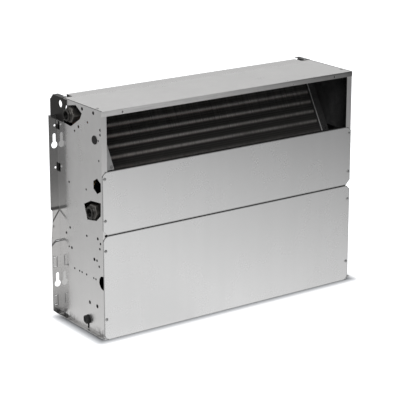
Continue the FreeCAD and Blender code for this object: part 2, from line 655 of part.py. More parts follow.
def return_bends(rises):
    """U-bends that join the two rows at the coil's right end."""
    bends = []
    start = coil_end + d.tube_stub + d.seat
    for number, rise in enumerate(rises):
        bend = doc.addObject("Part::Torus", "bend_" + str(number))
        bend.setExpression("Radius1", (d.row_pitch / 2).text)
        bend.setExpression("Radius2", d.tube_radius.text)
        bend.Angle3 = 180
        bend.Placement = Placement(Vector(0, 0, 0), Rotation(Vector(0, 0, 1), -90))
        bend.setExpression("Placement.Base.x", start.text)
        bend.setExpression("Placement.Base.y", (d.row_front + d.row_pitch / 2).text)
        bend.setExpression("Placement.Base.z", as_size(rise).text)
        bends.append(bend)
    group = doc.addObject("Part::Compound", "return_bends")
    group.Label = "return_bends"
    group.Links = bends
    group.Placement = Placement(Vector(0, 0, 0), Rotation(Vector(1, 0, 0), -d.coil_tilt.value))
    group.setExpression("Placement.Rotation.Angle", (-d.coil_tilt).text)
    group.setExpression("Placement.Base.y", deep(d.coil_face).text)
    group.setExpression("Placement.Base.z", coil_level.text)


def headers():
    """The two upright headers at the coil's left end, with a vent above and a drain below."""
    low = -d.coil_low + d.header_short
    high = d.coil_high - d.header_short
    for label, inset, depth, top in (
            ("header_front", d.front_header_inset, d.row_front, high),
            ("header_rear", d.rear_header_inset, d.row_front + d.row_pitch,
             d.coil_high + d.header_extra)):
        header = Piece(label).lean()
        header.pad("XY", low, top, circle(across(inset), depth, d.header_radius))
    valve("vent", across(d.front_header_inset), d.row_front, high + d.seat, 1)
    valve("drain", across(d.rear_header_inset), d.row_front + d.row_pitch, low - d.seat, -1)


def valve(name, x, depth, base, way):
    """A small hexagon valve body on a header's end, with a screw in its bore."""
    tip = base + way * d.valve_length
    floor = base + way * d.valve_length / 3
    shell = Piece(name + "_valve").lean()
    shell.pad("XY", base, tip, hexagon(x, depth, d.valve_radius * 2))
    shell.pocket("XY", floor, tip, circle(x, depth, d.valve_screw + d.running_gap))
    plug = Piece(name + "_screw").lean()
    head = tip + way * d.valve_length / 4
    plug.pad("XY", floor + way * d.seat, head, circle(x, depth, d.valve_screw))
    slot = d.valve_screw / 4
    plug.pocket("XY", head - way * d.valve_length / 8, head,
                rectangle(x - d.valve_screw * 2, depth - slot, x + d.valve_screw * 2, depth + slot))


def unions():
    """The two threaded unions at the left side, each with the pipe to its header."""
    inner = from_side(LEFT, d.sheet + d.seat)
    nose = from_side(LEFT, -d.union_nose)
    rear = inner + d.union_length
    for name, (y, height), inset, header_depth, rise, reach in (
            ("return", upper_union, d.rear_header_inset, d.row_front + d.row_pitch,
             d.coil_high + d.header_extra - d.pipe_drop, d.header_radius + d.seat * 3),
            ("supply", lower_union, d.front_header_inset,
             d.row_front, -d.coil_low + d.header_short, d.seat * 3)):
        fitting = Piece("union_" + name)
        fitting.pad("YZ", inner, rear, hexagon(y, height, d.union_flats))
        fitting.pad("YZ", nose, inner, circle(y, height, d.union_collar))
        fitting.pocket("YZ", nose, inner + d.union_length * 2 / 3, circle(y, height, d.union_bore))
        end_y, end_z = coil_point(header_depth, rise)
        pipe(name + "_pipe", (rear + d.seat, y, height), (across(inset), end_y, end_z), reach)


def pipe(label, start, stop, reach):
    """A tube that runs along X, turns once and stops short of a header's axis."""
    start = Vector(*[size.value for size in start])
    stop = Vector(*[size.value for size in stop])
    turn = Vector(stop.x, start.y, start.z)
    away = (turn - stop).normalize()
    bend = d.pipe_bend.value
    before = turn - Vector(bend, 0, 0)
    after = turn - away * bend
    middle = turn + (before + after - turn * 2) * (1 - math.sqrt(0.5))
    path = Part.Wire([Part.LineSegment(start, before).toShape(), Part.Arc(before, middle, after).toShape(),
                      Part.LineSegment(after, stop + away * reach.value).toShape()])
    section = Part.Wire([Part.Circle(start, Vector(1, 0, 0), d.pipe_radius.value).toShape()])
    made = doc.addObject("Part::Feature", label)
    made.Label = label
    made.Shape = path.makePipeShell([section], True, True)
    made.Placement = Placement()


def tray_pieces():
    """Condensate tray under the coil, its drain spigot, and the baffle over the coil."""
    tray = Piece("condensate_tray")
    left, right = across(d.tray_left), across(d.tray_right)
    near, far = deep(d.tray_front), deep(d.tray_back)
    floor, rim = coil_level - d.tray_fall, coil_level - d.tray_fall + d.tray_rim
    spigot_x = left + d.spigot_inset
    spigot_y = (near + far) / 2
    tray.pad("XY", floor, rim, rectangle(left, near, right, far))
    tray.pocket("XY", floor + d.sheet, rim,
                rectangle(left + d.sheet, near + d.sheet, right - d.sheet, far - d.sheet))
    tray.pocket("XY", floor, floor + d.sheet, circle(spigot_x, spigot_y, d.spigot_radius + d.tube_gap))
    spigot = Piece("drain_spigot")
    spigot.pad("XY", floor - d.spigot_drop, floor + d.sheet, circle(spigot_x, spigot_y, d.spigot_radius))
    spigot.pad("XY", floor + d.sheet, floor + d.sheet * 2,
               circle(spigot_x, spigot_y, d.spigot_radius + d.spigot_wall * 2))
    spigot.pocket("XY", floor - d.spigot_drop, floor + d.sheet * 2,
                  circle(spigot_x, spigot_y, d.spigot_radius - d.spigot_wall))
    baffle = Piece("coil_baffle")
    y, z = coil_point(d.coil_thick / 2, d.coil_high)
    reach = d.coil_thick * sine(d.coil_tilt) / 2
    low = z + d.seat * 2
    baffle.pad("XZ", y, y + d.sheet, rectangle(across(d.coil_left), low, coil_end,
                                               under_roof - d.seat))
    baffle.pad("XY", under_roof - d.seat - d.sheet, under_roof - d.seat,
               rectangle(across(d.coil_left), y - reach, coil_end, y + d.sheet))


def deck_pieces():
    """The deck between fans and coil, with the outlets of both scrolls."""
    deck = Piece("fan_deck")
    low, high = d.deck_top - d.sheet, d.deck_top
    near, far = inner_front, inner_back
    openings = [rectangle(x - d.scroll_width / 2 + d.scroll_wall, deep(d.fan_depth + d.outlet_depth),
                          x + d.scroll_width / 2 - d.scroll_wall, scroll_back()) for x in fan_places()]
    spigot_x = across(d.tray_left) + d.spigot_inset
    spigot_y = deep((d.tray_front + d.tray_back) / 2)
    deck.pad("XY", low, high, rectangle(inner_left, near, inner_right, far), *openings,
             circle(spigot_x, spigot_y, d.spigot_radius * 2))
    deck.pad("XZ", near, near + d.sheet,
             rectangle(inner_left + d.jamb_width, high - d.deck_drop, inner_right - d.jamb_width, low))
    deck.pad("XZ", far - d.sheet, far, rectangle(inner_left, high - d.deck_drop, inner_right, low))


def fan_places():
    """X of the two fans."""
    return across(d.fan_centre) - d.fan_spread, across(d.fan_centre) + d.fan_spread


def scroll_back():
    """Y of the inner face of each scroll's rear wall."""
    return deep(d.fan_depth) + d.scroll_step / 2 + d.scroll_start + d.scroll_step * 2


def scroll_loop(wall, top):
    """A scroll as three quarter arcs whose radius grows by one step each, open at the top."""
    step = d.scroll_step
    half = step / 2
    radii = [d.scroll_start + step * turn + wall for turn in range(3)]
    low_z = -half - radii[1]
    tongue = d.tongue_rise if wall == 0 else half * -1 + radii[0]
    return outline(
        (d.outlet_depth - wall, tongue), (-half, -half + radii[0], arc(-half, -half, radii[0])),
        (-half - radii[0], -half, arc(half, -half, radii[1])),
        (half, low_z, arc(half, half, radii[2])),
        (half + radii[2], half), (half + radii[2], top), (d.outlet_depth - wall, top))


def fans():
    """Scrolls, impellers, shaft and motor, in frames centred on the fan axis."""
    y, z = deep(d.fan_depth), d.fan_height
    top = d.deck_top - d.sheet - d.seat - d.fan_height
    half = d.scroll_width / 2
    for name, x in zip(("left", "right"), fan_places()):
        scroll = Piece("scroll_" + name).place(x, y, z)
        scroll.pad("YZ", -half, half, scroll_loop(d.scroll_wall, top))
        scroll.pad("YZ", -half - d.eye_collar, half + d.eye_collar,
                   circle(0, 0, d.eye_radius + d.scroll_wall))
        scroll.pocket("YZ", -half + d.scroll_wall, half - d.scroll_wall, scroll_loop(0, top))
        scroll.pocket("YZ", -half - d.eye_collar, half + d.eye_collar, circle(0, 0, d.eye_radius))
        impeller("impeller_" + name, x, y, z)
    centre = across(d.fan_centre)
    reach = d.fan_spread + d.hub_length
    shaft = Piece("motor_shaft").place(centre, y, z)
    shaft.pad("YZ", -reach, reach, circle(0, 0, d.shaft_radius))
    motor(centre, y, z)


def impeller(label, x, y, z):
    """A double-inlet wheel: centre disc, end rings and a ring of forward-curved blades."""
    wheel = Piece(label).place(x, y, z)
    half = d.impeller_width / 2
    bore = d.shaft_radius + d.running_gap
    ring = [circle(0, 0, d.impeller_radius), circle(0, 0, d.blade_root + d.blade_thick * 2)]
    wheel.pad("YZ", -d.sheet, d.sheet, circle(0, 0, d.impeller_radius), circle(0, 0, bore))
    wheel.pad("YZ", -d.hub_length / 2, d.hub_length / 2, circle(0, 0, d.hub_radius), circle(0, 0, bore))
    inner = d.blade_curve - d.blade_thick / 2
    outer = d.blade_curve + d.blade_thick / 2
    root, curve = d.blade_root, d.blade_curve
    blade = wheel.pad("YZ", -half, half,
                      outline((root, -d.blade_thick / 2, arc(root, curve, outer)), (root + outer, curve),
                              (root + inner, curve), (root, d.blade_thick / 2)))
    wheel.polar_copies(blade, d.blade_count)
    wheel.pad("YZ", -half, -half + d.ring_width, *ring)
    wheel.pad("YZ", half - d.ring_width, half, *ring)


def motor(x, y, z):
    """Motor with end bosses in rubber rings, hung from the deck in a cradle, and its capacitor."""
    half = d.motor_length / 2
    bore = d.shaft_radius + d.running_gap
    shoulder, shoulder_end = d.motor_shoulder, half - d.motor_chamfer
    housing = Piece("motor_body").place(x, y, z)
    housing.turn_profile([
        (-half - d.boss_length, bore), (half + d.boss_length, bore), (half + d.boss_length, d.motor_boss),
        (half, d.motor_boss), (half, shoulder), (shoulder_end, d.motor_radius),
        (-shoulder_end, d.motor_radius), (-half, shoulder), (-half, d.motor_boss),
        (-half - d.boss_length, d.motor_boss)])
    rings = Piece("motor_rings").place(x, y, z)
    for side in (LEFT, RIGHT):
        low, high = ordered(side * (half + d.ring_set), side * (half + d.ring_set + d.ring_length))
        rings.pad("YZ", low, high, circle(0, 0, d.ring_radius), circle(0, 0, d.motor_boss + d.tube_gap))
    cradle = Piece("motor_cradle").place(x, y, z)
    top = d.deck_top - d.sheet - d.seat - d.fan_height
    wide = d.cradle_width / 2
    foot = d.cradle_foot / 2
    middle = half + d.ring_set + d.ring_length / 2
    for side in (LEFT, RIGHT):
        low, high = ordered(side * (middle - d.cradle_thick / 2), side * (middle + d.cradle_thick / 2))
        cradle.pad("YZ", low, high,
                   outline((-wide, -d.cradle_shoulder), (-foot, -wide), (foot, -wide),
                           (wide, -d.cradle_shoulder), (wide, top), (-wide, top)),
                   circle(0, 0, d.ring_radius + d.tube_gap))
    cradle.pad("XY", top - d.cradle_thick, top,
               rectangle(-middle, -wide, middle, wide))
    height = top - d.cradle_thick - d.seat - d.clip_thick - d.tube_gap - d.capacitor_radius
    can = Piece("capacitor").place(x, y, z)
    can.pad("XZ", -d.capacitor_length / 2, d.capacitor_length / 2, circle(0, height, d.capacitor_radius))
    hold = d.capacitor_radius + d.tube_gap
    clip = Piece("capacitor_clip").place(x, y, z)
    clip.pad("XZ", -d.clip_width / 2, d.clip_width / 2, circle(0, height, hold + d.clip_thick),
             circle(0, height, hold))


def base_pieces():
    """Base rails, filter with its frame, mesh and guides."""
    for label, wall, foot in (("base_rail_front", inner_front, deep(d.rail_depth)),
                              ("base_rail_rear", inner_back, inner_back - d.rail_depth)):
        rail = Piece(label)
        way = 1 if foot.value > wall.value else -1
        rail.pad("XZ", wall, wall + way * d.sheet,
                 rectangle(inner_left, 0, inner_right, d.rail_height))
        foot_y = ordered(wall, foot)
        rail.pad("XY", 0, d.sheet, rectangle(inner_left, foot_y[0], inner_right, foot_y[1]))
    left, right = from_side(LEFT, d.filter_inset), from_side(RIGHT, d.filter_inset)
    near = deep(d.rail_depth) + d.seat
    far = inner_back - d.rail_depth - d.seat
    border = d.filter_border
    low, high = d.filter_low, d.filter_low + d.filter_thick
    inside = rectangle(left + border, near + border, right - border, far - border)
    ring = Piece("filter_frame")
    ring.pad("XY", low, high, rectangle(left, near, right, far), inside)
    mesh = Piece("filter_mesh")
    middle = (low + high) / 2
    mesh.pad("XY", middle - d.mesh_thick / 2, middle + d.mesh_thick / 2,
             rectangle(left + border + d.seat, near + border + d.seat, right - border - d.seat,
                       far - border - d.seat))
    for side, label in ((LEFT, "filter_guide_left"), (RIGHT, "filter_guide_right")):
        guide = Piece(label)
        inner = from_side(side, d.sheet + d.seat)
        edge = from_side(side, d.filter_inset - d.seat)
        wall = ordered(edge, edge + side * d.sheet)
        crown = high + d.guide_rise
        guide.pad("YZ", wall[0], wall[1], rectangle(near, low - d.filter_thick / 2, far, crown))
        shelf = ordered(inner, edge)
        guide.pad("XY", crown - d.sheet, crown, rectangle(shelf[0], near, shelf[1], far))


def plug(label, y, height, head):
    """A closed rubber plug in a round hole of the left side, with a groove for the sheet."""
    piece = Piece(label).place(from_side(LEFT, 0), y, height)
    gap = d.running_gap
    neck = d.grommet_hole - gap
    cap = d.plug_cap
    piece.turn_profile([
        (-cap, 0), (d.sheet + cap, 0), (d.sheet + cap, neck), (d.sheet + gap, neck + d.plug_barb),
        (d.sheet + gap, neck), (-gap, neck), (-gap, head), (d.plug_edge - cap, head),
        (-cap, head - d.plug_edge)])
    return piece


def rubber_and_foam():
    """Plugs in the left side and the foam that lines the outlet."""
    plug("side_grommet", deep(d.grommet_depth), roof - d.grommet_drop, d.grommet_hole + 2)
    bung = plug("side_bung", deep(d.bung_depth), d.bung_height, d.bung_radius)
    bung.pad("YZ", -d.plug_barb, -d.running_gap,
             rectangle(-d.strap_half, -d.strap_length, d.strap_half, -d.grommet_hole - d.plug_edge))
    pad = Piece("foam_right")
    pad.pad("YZ", inner_right - d.foam, inner_right,
            rectangle(jamb_face + d.jamb_return + d.seat, sill - d.jamb_return,
                      inner_back - d.seat, roof - d.lip_drop - d.bracket_corner))
    lining = Piece("foam_rear")
    lining.pad("XZ", inner_back - d.foam, inner_back,
               rectangle(across(d.coil_left), d.deck_top + d.seat, coil_end,
                         roof - d.case_depth / 2))


def terminal_box():
    """Wiring box outside the right side: shell, cover, strip, gland and cover screws."""
    x = from_side(RIGHT, 0)
    near, far = deep(d.box_front), deep(d.box_front) + d.box_length
    low, high = d.box_low, d.box_low + d.box_height
    wall, lid = d.box_wall, x + d.box_reach - d.box_wall
    middle, centre = (near + far) / 2, (low + high) / 2
    shell = Piece("terminal_box")
    shell.pad("YZ", x, lid, rectangle(near, low, far, high))
    shell.pocket("YZ", x + wall, lid, rectangle(near + wall, low + wall, far - wall, high - wall))
    shell.pocket("YZ", x, x + wall, circle(middle, centre, d.gland_radius))
    gland_x = lid - d.gland_radius
    bore = d.gland_radius - wall
    shell.pocket("XY", low, low + wall, circle(gland_x, middle, bore + d.running_gap))
    places = [(y, z) for y in (near + wall * 2, far - wall * 2) for z in (low + wall * 2, high - wall * 2)]
    for y, z in places:
        shell.pad("YZ", x + wall, lid, circle(y, z, d.box_post))
    shell.pocket("YZ", lid - d.shank_length, lid, *[circle(y, z, screw_hole) for y, z in places])
    cover = Piece("terminal_cover")
    cover.pad("YZ", lid, lid + wall, rectangle(near, low, far, high),
              *[circle(y, z, screw_hole) for y, z in places])
    strip = Piece("terminal_strip")
    base = x + wall + d.seat
    start, stop = near + d.strip_inset, far - d.strip_inset
    sole = low + d.strip_inset
    strip.pad("YZ", base, base + d.box_reach / 3, rectangle(start, sole, stop, sole + d.strip_height))
    ways = [start + (stop - start) * (step + 0.5) / STRIP_WAYS for step in range(STRIP_WAYS)]
    strip.pocket("YZ", base + d.box_reach / 6, base + d.box_reach / 3,
                 *[circle(y, sole + d.strip_height / 2, wall) for y in ways])
    gland = Piece("cable_gland")
    nut = low - d.gland_neck
    gland.pad("XY", nut - d.gland_nut, nut, hexagon(gland_x, middle, d.gland_radius * 2))
    gland.pad("XY", nut, low + wall * 2, circle(gland_x, middle, bore))
    gland.pocket("XY", nut - d.gland_nut, low + wall * 2, circle(gland_x, middle, bore - wall))
    screws("cover_screws", "YZ", lid + wall, lid + wall - d.shank_length, places)


case_pieces()
coil_pieces()
tray_pieces()
deck_pieces()
fans()
base_pieces()
rubber_and_foam()
terminal_box()

doc.recompute()

# Every piece is checked before any file is written
nodes = [thing for thing in doc.Objects
         if thing.TypeId in ("PartDesign::Body", "Part::Compound", "Part::Feature")]
faults = []
for thing in doc.Objects:
    if "Invalid" in thing.State or "Error" in thing.State:
        faults.append(thing.Label + " failed to build")
for node in nodes:
    if node.Shape.isNull() or not node.Shape.isValid() or not node.Shape.Solids:
        faults.append(node.Label + " has no valid solid")
if faults:
    raise RuntimeError("; ".join(faults))

os.makedirs("parts", exist_ok=True)
for node in nodes:
    node.Shape.exportStep(os.path.join("parts", node.Label + ".step"))
print("wrote", len(nodes), "pieces")
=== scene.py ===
import json
import math
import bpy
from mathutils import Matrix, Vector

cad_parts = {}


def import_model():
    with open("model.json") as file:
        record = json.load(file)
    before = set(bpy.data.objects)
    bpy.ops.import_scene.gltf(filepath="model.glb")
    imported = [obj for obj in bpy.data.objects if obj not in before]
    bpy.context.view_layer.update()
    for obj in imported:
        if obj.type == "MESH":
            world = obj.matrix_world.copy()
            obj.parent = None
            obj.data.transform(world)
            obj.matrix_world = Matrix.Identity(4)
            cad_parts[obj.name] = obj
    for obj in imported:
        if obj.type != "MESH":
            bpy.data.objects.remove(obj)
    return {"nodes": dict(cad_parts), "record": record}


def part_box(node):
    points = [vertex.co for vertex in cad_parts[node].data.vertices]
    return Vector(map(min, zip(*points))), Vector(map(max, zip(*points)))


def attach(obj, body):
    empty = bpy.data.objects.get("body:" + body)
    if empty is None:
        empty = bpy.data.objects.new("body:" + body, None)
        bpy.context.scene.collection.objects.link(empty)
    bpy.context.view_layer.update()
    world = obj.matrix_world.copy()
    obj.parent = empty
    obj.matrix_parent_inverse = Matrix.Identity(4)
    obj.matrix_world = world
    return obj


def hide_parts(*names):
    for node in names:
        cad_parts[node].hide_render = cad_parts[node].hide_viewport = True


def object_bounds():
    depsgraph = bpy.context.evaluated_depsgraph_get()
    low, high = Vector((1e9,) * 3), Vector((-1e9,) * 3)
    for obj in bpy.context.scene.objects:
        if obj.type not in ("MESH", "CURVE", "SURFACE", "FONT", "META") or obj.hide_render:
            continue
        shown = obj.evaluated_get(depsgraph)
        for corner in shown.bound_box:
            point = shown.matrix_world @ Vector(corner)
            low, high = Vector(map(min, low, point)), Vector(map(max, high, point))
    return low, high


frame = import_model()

from types import SimpleNamespace

import bpy
import numpy as np
from mathutils import Vector

CAD_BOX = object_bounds()

# Camera: a long lens whose axis meets the case's front plane at the target, fitted to the photograph
PHOTO_SIDE = 400
FOCAL_PIXELS = 1630.6
AXIS_ROW = 160
VIEW_AZIMUTH = math.radians(35.18)
VIEW_ELEVATION = math.radians(15.59)
VIEW_DISTANCE = 3.7131
VIEW_TARGET = Vector((-0.09325, -0.108, 0.38024))
SENSOR = 36.0

WHITE = (1, 1, 1)

# Paper floor as the metal mirrors it: left of the case it fades round a middle, in front to the right
GLOW_CENTRE = (-0.35, -0.45, 0)
GLOW_REACH = 1.8
GLOW_MIDDLE = 0.98
GLOW_RIM = 0.45
GLOW_RIGHT = (0.05, 1.35)
GLOW_RIGHT_RIM = 0.32
GLOW_TURN = (-0.40, -0.33)
PAPER_EDGE = (-1.8, -1.3)
PAPER_EDGE_GLOW = 0.65

# Paper floor: its size, its drop under the case, and the contact shadow round the case's foot
PAPER_REACH = 6.0
PAPER_DROP = 0.0005
SHADOW_HALF_WIDTH = CAD_BOX[1][0] * 0.96
SHADOW_MIDDLE = -0.013
SHADOW_HALF_DEPTH = 0.095
SHADOW_FADE = (-0.004, 0.034)

# Studio: its light in every direction, and what is added behind, overhead and in front or taken off
SKY = 0.24
SKY_BEHIND = 0.50
SKY_OVERHEAD = 0.35
SKY_RIGHT_LESS = 0.16
SKY_FRONT_FILL = 0.55

# Planes of the case, and the hair's breadth that tells one side of a plane from the other
HAIR = 0.0001
WEB_FACE = 0.355
CASE_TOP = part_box("top_panel")[1].z
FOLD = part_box("rear_panel")[1].y
FLANGE_SPLIT = 0.262
PANEL_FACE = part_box("front_panel_lower")[0].y
PANEL_CORNER = 0.011
JAMB_DEPTH = 0.0028
JAMB_BACK = PANEL_FACE + JAMB_DEPTH
TOP_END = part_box("top_panel")[0].x
LIP_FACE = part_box("top_panel")[0].y
LIP_HEIGHT = 0.013
LIP_EDGE = CASE_TOP - LIP_HEIGHT
PLATE_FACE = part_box("tube_sheet_right")[0].x
PLATE_EDGE = (-0.0008, -0.0004)

# Marks on the sheets, most of them painted shade or painted light: where each begins and ends along its
# own axis
BRIM_SHADOW = (0.0004, 0.0016)
PAINTED_SHEEN_RISE = (0.15, 0.50)
MOTTLE_RISE = (0.012, 0.030)
MOTTLE_REAR = (-0.02, 0.07)
MOTTLE_FRONT = (-0.085, -0.05)
FOLD_SHADOW = (-0.0028, -0.0008)
FOLD_SMOOTH = (-0.045, -0.020)
LIP_FOLD_SHADOW = (-0.005, -0.001)
FLANGE_GLOOM = 0.09
FLANGE_FOOT_SHADE = (0.03, 0.09)
FLANGE_PAINTED_LIGHT = (0.10, 0.16)
PANEL_LINE = 0.0006
PANEL_LINE_FADE = (0.0004, 0.0016)
PANEL_TURN = (0.0002, 0.0012)
PANEL_TURN_FADE = (0.0010, 0.0030)

# Slits and knock-outs of the wall flange, where painted shadow lines run, from the fold outwards
SLIT_LOW = 0.1875
SLIT_BEND = 0.0115
SLIT_SLOPE = 0.78
SPLIT_SLOPE = 1.42
SLIT_EDGE = (0.0016, 0.0040)
SPLIT_EDGE = (0.0016, 0.0042)
SPLIT_SHADOW_RISE = 0.0045
SPLIT_SHADOW_EDGE = (0.0015, 0.0055)
KNOCKOUTS = (0.031, 0.125)
KNOCKOUT_HEIGHT = 0.024
KNOCKOUT_WIDTH = 0.009
KNOCKOUT_MIDDLE = 0.0145
KNOCKOUT_EDGE = (0.0004, 0.0014)

# Screw heads and punched holes, told apart by the distances between their points
HEAD_SPREAD = 0.0078
HOLE_SPACING = 0.0014
HOLE_WIDEST = 0.010

# Coil frame, which leans back from the fin pack's lower front corner
COIL_TILT = math.radians(30)
TUBE_PITCH = 0.025
TUBE_FIRST = 0.0125
TUBE_RADIUS = 0.005

# Rings on the unions' faces: the bore's edge, with painted shade inside and beyond it, and the hexagon's,
# with painted light beyond it
UNION_BORE = (0.0096, 0.0100)
UNION_HEXAGON = (0.014, 0.015)


def coil_frame():
    """The fin pack's lower front corner, its slope and depth directions, and its size along each way."""
    low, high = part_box("coil_fins")
    sine, cosine = math.sin(COIL_TILT), math.cos(COIL_TILT)
    span = cosine * cosine - sine * sine
    reach_y, reach_z = high.y - low.y, high.z - low.z
    length = (cosine * reach_z - sine * reach_y) / span
    thick = (cosine * reach_y - sine * reach_z) / span
    corner = np.array([low.x, low.y, high.z - length * cosine])
    slope = np.array([0, sine, cosine])
    depth = np.array([0, cosine, -sine])
    return SimpleNamespace(corner=corner, slope=slope, depth=depth, length=length, thick=thick,
                           width=high.x - low.x)


COIL = coil_frame()


# Shader arithmetic
class Field:
    """A shader socket that adds Math nodes when Python operators are used on it."""

    def __init__(self, tree, socket):
        self.tree = tree
        self.socket = socket

    def calculate(self, operation, *others, swap=False):
        """A Math node of this field and the others."""
        values = [self, *others]
        if swap:
            values.reverse()
        return self.tree.node("ShaderNodeMath", {"operation": operation}, dict(enumerate(values)))

    def __add__(self, other):
        return self.calculate("ADD", other)

    def __radd__(self, other):
        return self.calculate("ADD", other)

    def __sub__(self, other):
        return self.calculate("SUBTRACT", other)

    def __rsub__(self, other):
        return self.calculate("SUBTRACT", other, swap=True)

    def __mul__(self, other):
        return self.calculate("MULTIPLY", other)

    def __rmul__(self, other):
        return self.calculate("MULTIPLY", other)

    def __truediv__(self, other):
        return self.calculate("DIVIDE", other)

    def __abs__(self):
        return self.calculate("ABSOLUTE")

    def fraction(self):
        """The part after the decimal point."""
        return self.calculate("FRACT")

    def ramp(self, low, high, start=0.0, stop=1.0):
        """A smooth step from start to stop as the field goes from low to high."""
        settings = {"interpolation_type": "SMOOTHSTEP", "clamp": True}
        values = {"Value": self, "From Min": low, "From Max": high, "To Min": start, "To Max": stop}
        return self.tree.node("ShaderNodeMapRange", settings, values)

    def slope(self, low, high, start, stop):
        """A straight line from start to stop as the field goes from low to high, and level beyond."""
        values = {"Value": self, "From Min": low, "From Max": high, "To Min": start, "To Max": stop}
        return self.tree.node("ShaderNodeMapRange", {}, values)

    def reaches(self, level):
        """One from a hair under the level upwards."""
        return self.ramp(level - 3 * HAIR, level - HAIR)

    def short_of(self, level):
        """One up to a hair under the level."""
        return self.ramp(level - 3 * HAIR, level - HAIR, 1.0, 0.0)

    def past(self, level):
        """One from a hair over the level upwards."""
        return self.ramp(level + HAIR, level + 4 * HAIR)


class Tree:
    """A node tree that is built from fields."""

    def __init__(self, graph):
        self.graph = graph
        self.graph.nodes.clear()

    def node(self, kind, settings, values, output=0):
        """A node with its settings first, then its sockets, as the field of one output."""
        made = self.graph.nodes.new(kind)
        for name, value in settings.items():
            setattr(made, name, value)
        for key, value in values.items():
            if isinstance(value, Field):
                self.graph.links.new(value.socket, made.inputs[key])
            else:
                made.inputs[key].default_value = value
        return Field(self, made.outputs[output])

    def axes(self, vector):
        """The three parts of a vector."""
        split = self.node("ShaderNodeSeparateXYZ", {}, {"Vector": vector}, 0)
        return [Field(self, socket) for socket in split.socket.node.outputs]


class Finish(Tree):
    """A material: one surface shader and the nodes that feed it."""

    def __init__(self, name, metallic=0.0, roughness=0.5, specular=0.5):
        self.material = bpy.data.materials.new(name)
        self.material.use_nodes = True
        super().__init__(self.material.node_tree)
        self.output = self.graph.nodes.new("ShaderNodeOutputMaterial")
        self.shader = self.graph.nodes.new("ShaderNodeBsdfPrincipled")
        self.graph.links.new(self.shader.outputs["BSDF"], self.output.inputs["Surface"])
        self.shader.inputs["Metallic"].default_value = metallic
        self.shader.inputs["Roughness"].default_value = roughness
        self.shader.inputs["Specular IOR Level"].default_value = specular
        self.place = self.node("ShaderNodeTexCoord", {}, {}, "Object")

    def noise(self, scale, detail=2.0, stretch=(1, 1, 1)):
        """Noise with this many features to the metre, stretched along the axes."""
        place = self.node("ShaderNodeMapping", {}, {"Vector": self.place, "Scale": stretch})
        values = {"Vector": place, "Scale": scale, "Detail": detail}
        return self.node("ShaderNodeTexNoise", {}, values, "Fac")

    def cells(self, scale):
        """A random number for each cell of a crystal pattern."""
        colour = self.node("ShaderNodeTexVoronoi", {}, {"Vector": self.place, "Scale": scale}, "Color")
        return self.node("ShaderNodeSeparateColor", {}, {"Color": colour}, "Red")

    def along(self, direction, origin):
        """Distance from an origin along a direction."""
        reach = self.vector("DOT_PRODUCT", {0: self.place, 1: tuple(direction)}, "Value")
        return reach - float(np.dot(direction, origin))

    def vector(self, operation, values, output="Vector"):
        """A Vector Math node of these values."""
        return self.node("ShaderNodeVectorMath", {"operation": operation}, values, output)

    def distance(self, place, point):
        """Distance of a place from a point."""
        return self.vector("DISTANCE", {0: place, 1: point}, "Value")

    def scaled(self, colour, shade):
        """A colour multiplied by a field of shade."""
        return self.vector("SCALE", {0: colour, "Scale": shade})

    def paint(self, colour, shade):
        """A colour multiplied by a field of shade, into the base colour."""
        self.link("Base Color", self.scaled(colour, shade))

    def blend(self, first, second, factor):
        """Two colours mixed by a field, into the base colour, through the Mix node's colour sockets."""
        values = {0: factor, 6: (*first, 1), 7: (*second, 1)}
        self.link("Base Color", self.node("ShaderNodeMix", {"data_type": "RGBA"}, values, 2))

    def link(self, socket, field):
        """A field into a socket of the surface shader."""
        self.graph.links.new(field.socket, self.shader.inputs[socket])

    def bump(self, height, distance, fold=0.0):
        """A height field in metres of relief into the normal, over edges rounded by the fold radius."""
        values = {"Height": height, "Distance": distance, "Strength": 1.0}
        if fold:
            values["Normal"] = self.node("ShaderNodeBevel", {"samples": 6}, {"Radius": fold})
        self.link("Normal", self.node("ShaderNodeBump", {}, values, "Normal"))


# Finishes
def zinc(name, tone, roughness, spangle=0.05, metallic=0.9, grain=0.06, fold=0.0, relief=0.00002,
         marks=None):
    """Hot-dipped sheet: faint crystals, soft clouds, rolling streaks and a fine grain.

    Marks is a function of the finish, its shade and its roughness that gives both with one sheet's marks.
    """
    finish = Finish(name, metallic, roughness)
    crystal = finish.cells(75) - 0.5
    cloud = finish.noise(7, 3) - 0.5
    fine = finish.noise(700, 3) - 0.5
    streak = finish.noise(40, 2, (1, 1, 0.05)) - 0.5
    shade = 1 + crystal * spangle + cloud * 0.12 + fine * grain + streak * 0.05
    rough = roughness + crystal * spangle + cloud * 0.10 + fine * grain
    if marks:
        shade, rough = marks(finish, shade, rough)
    finish.paint(tone, shade)
    finish.link("Roughness", rough)
    finish.bump(fine, relief, fold)
    return finish.material


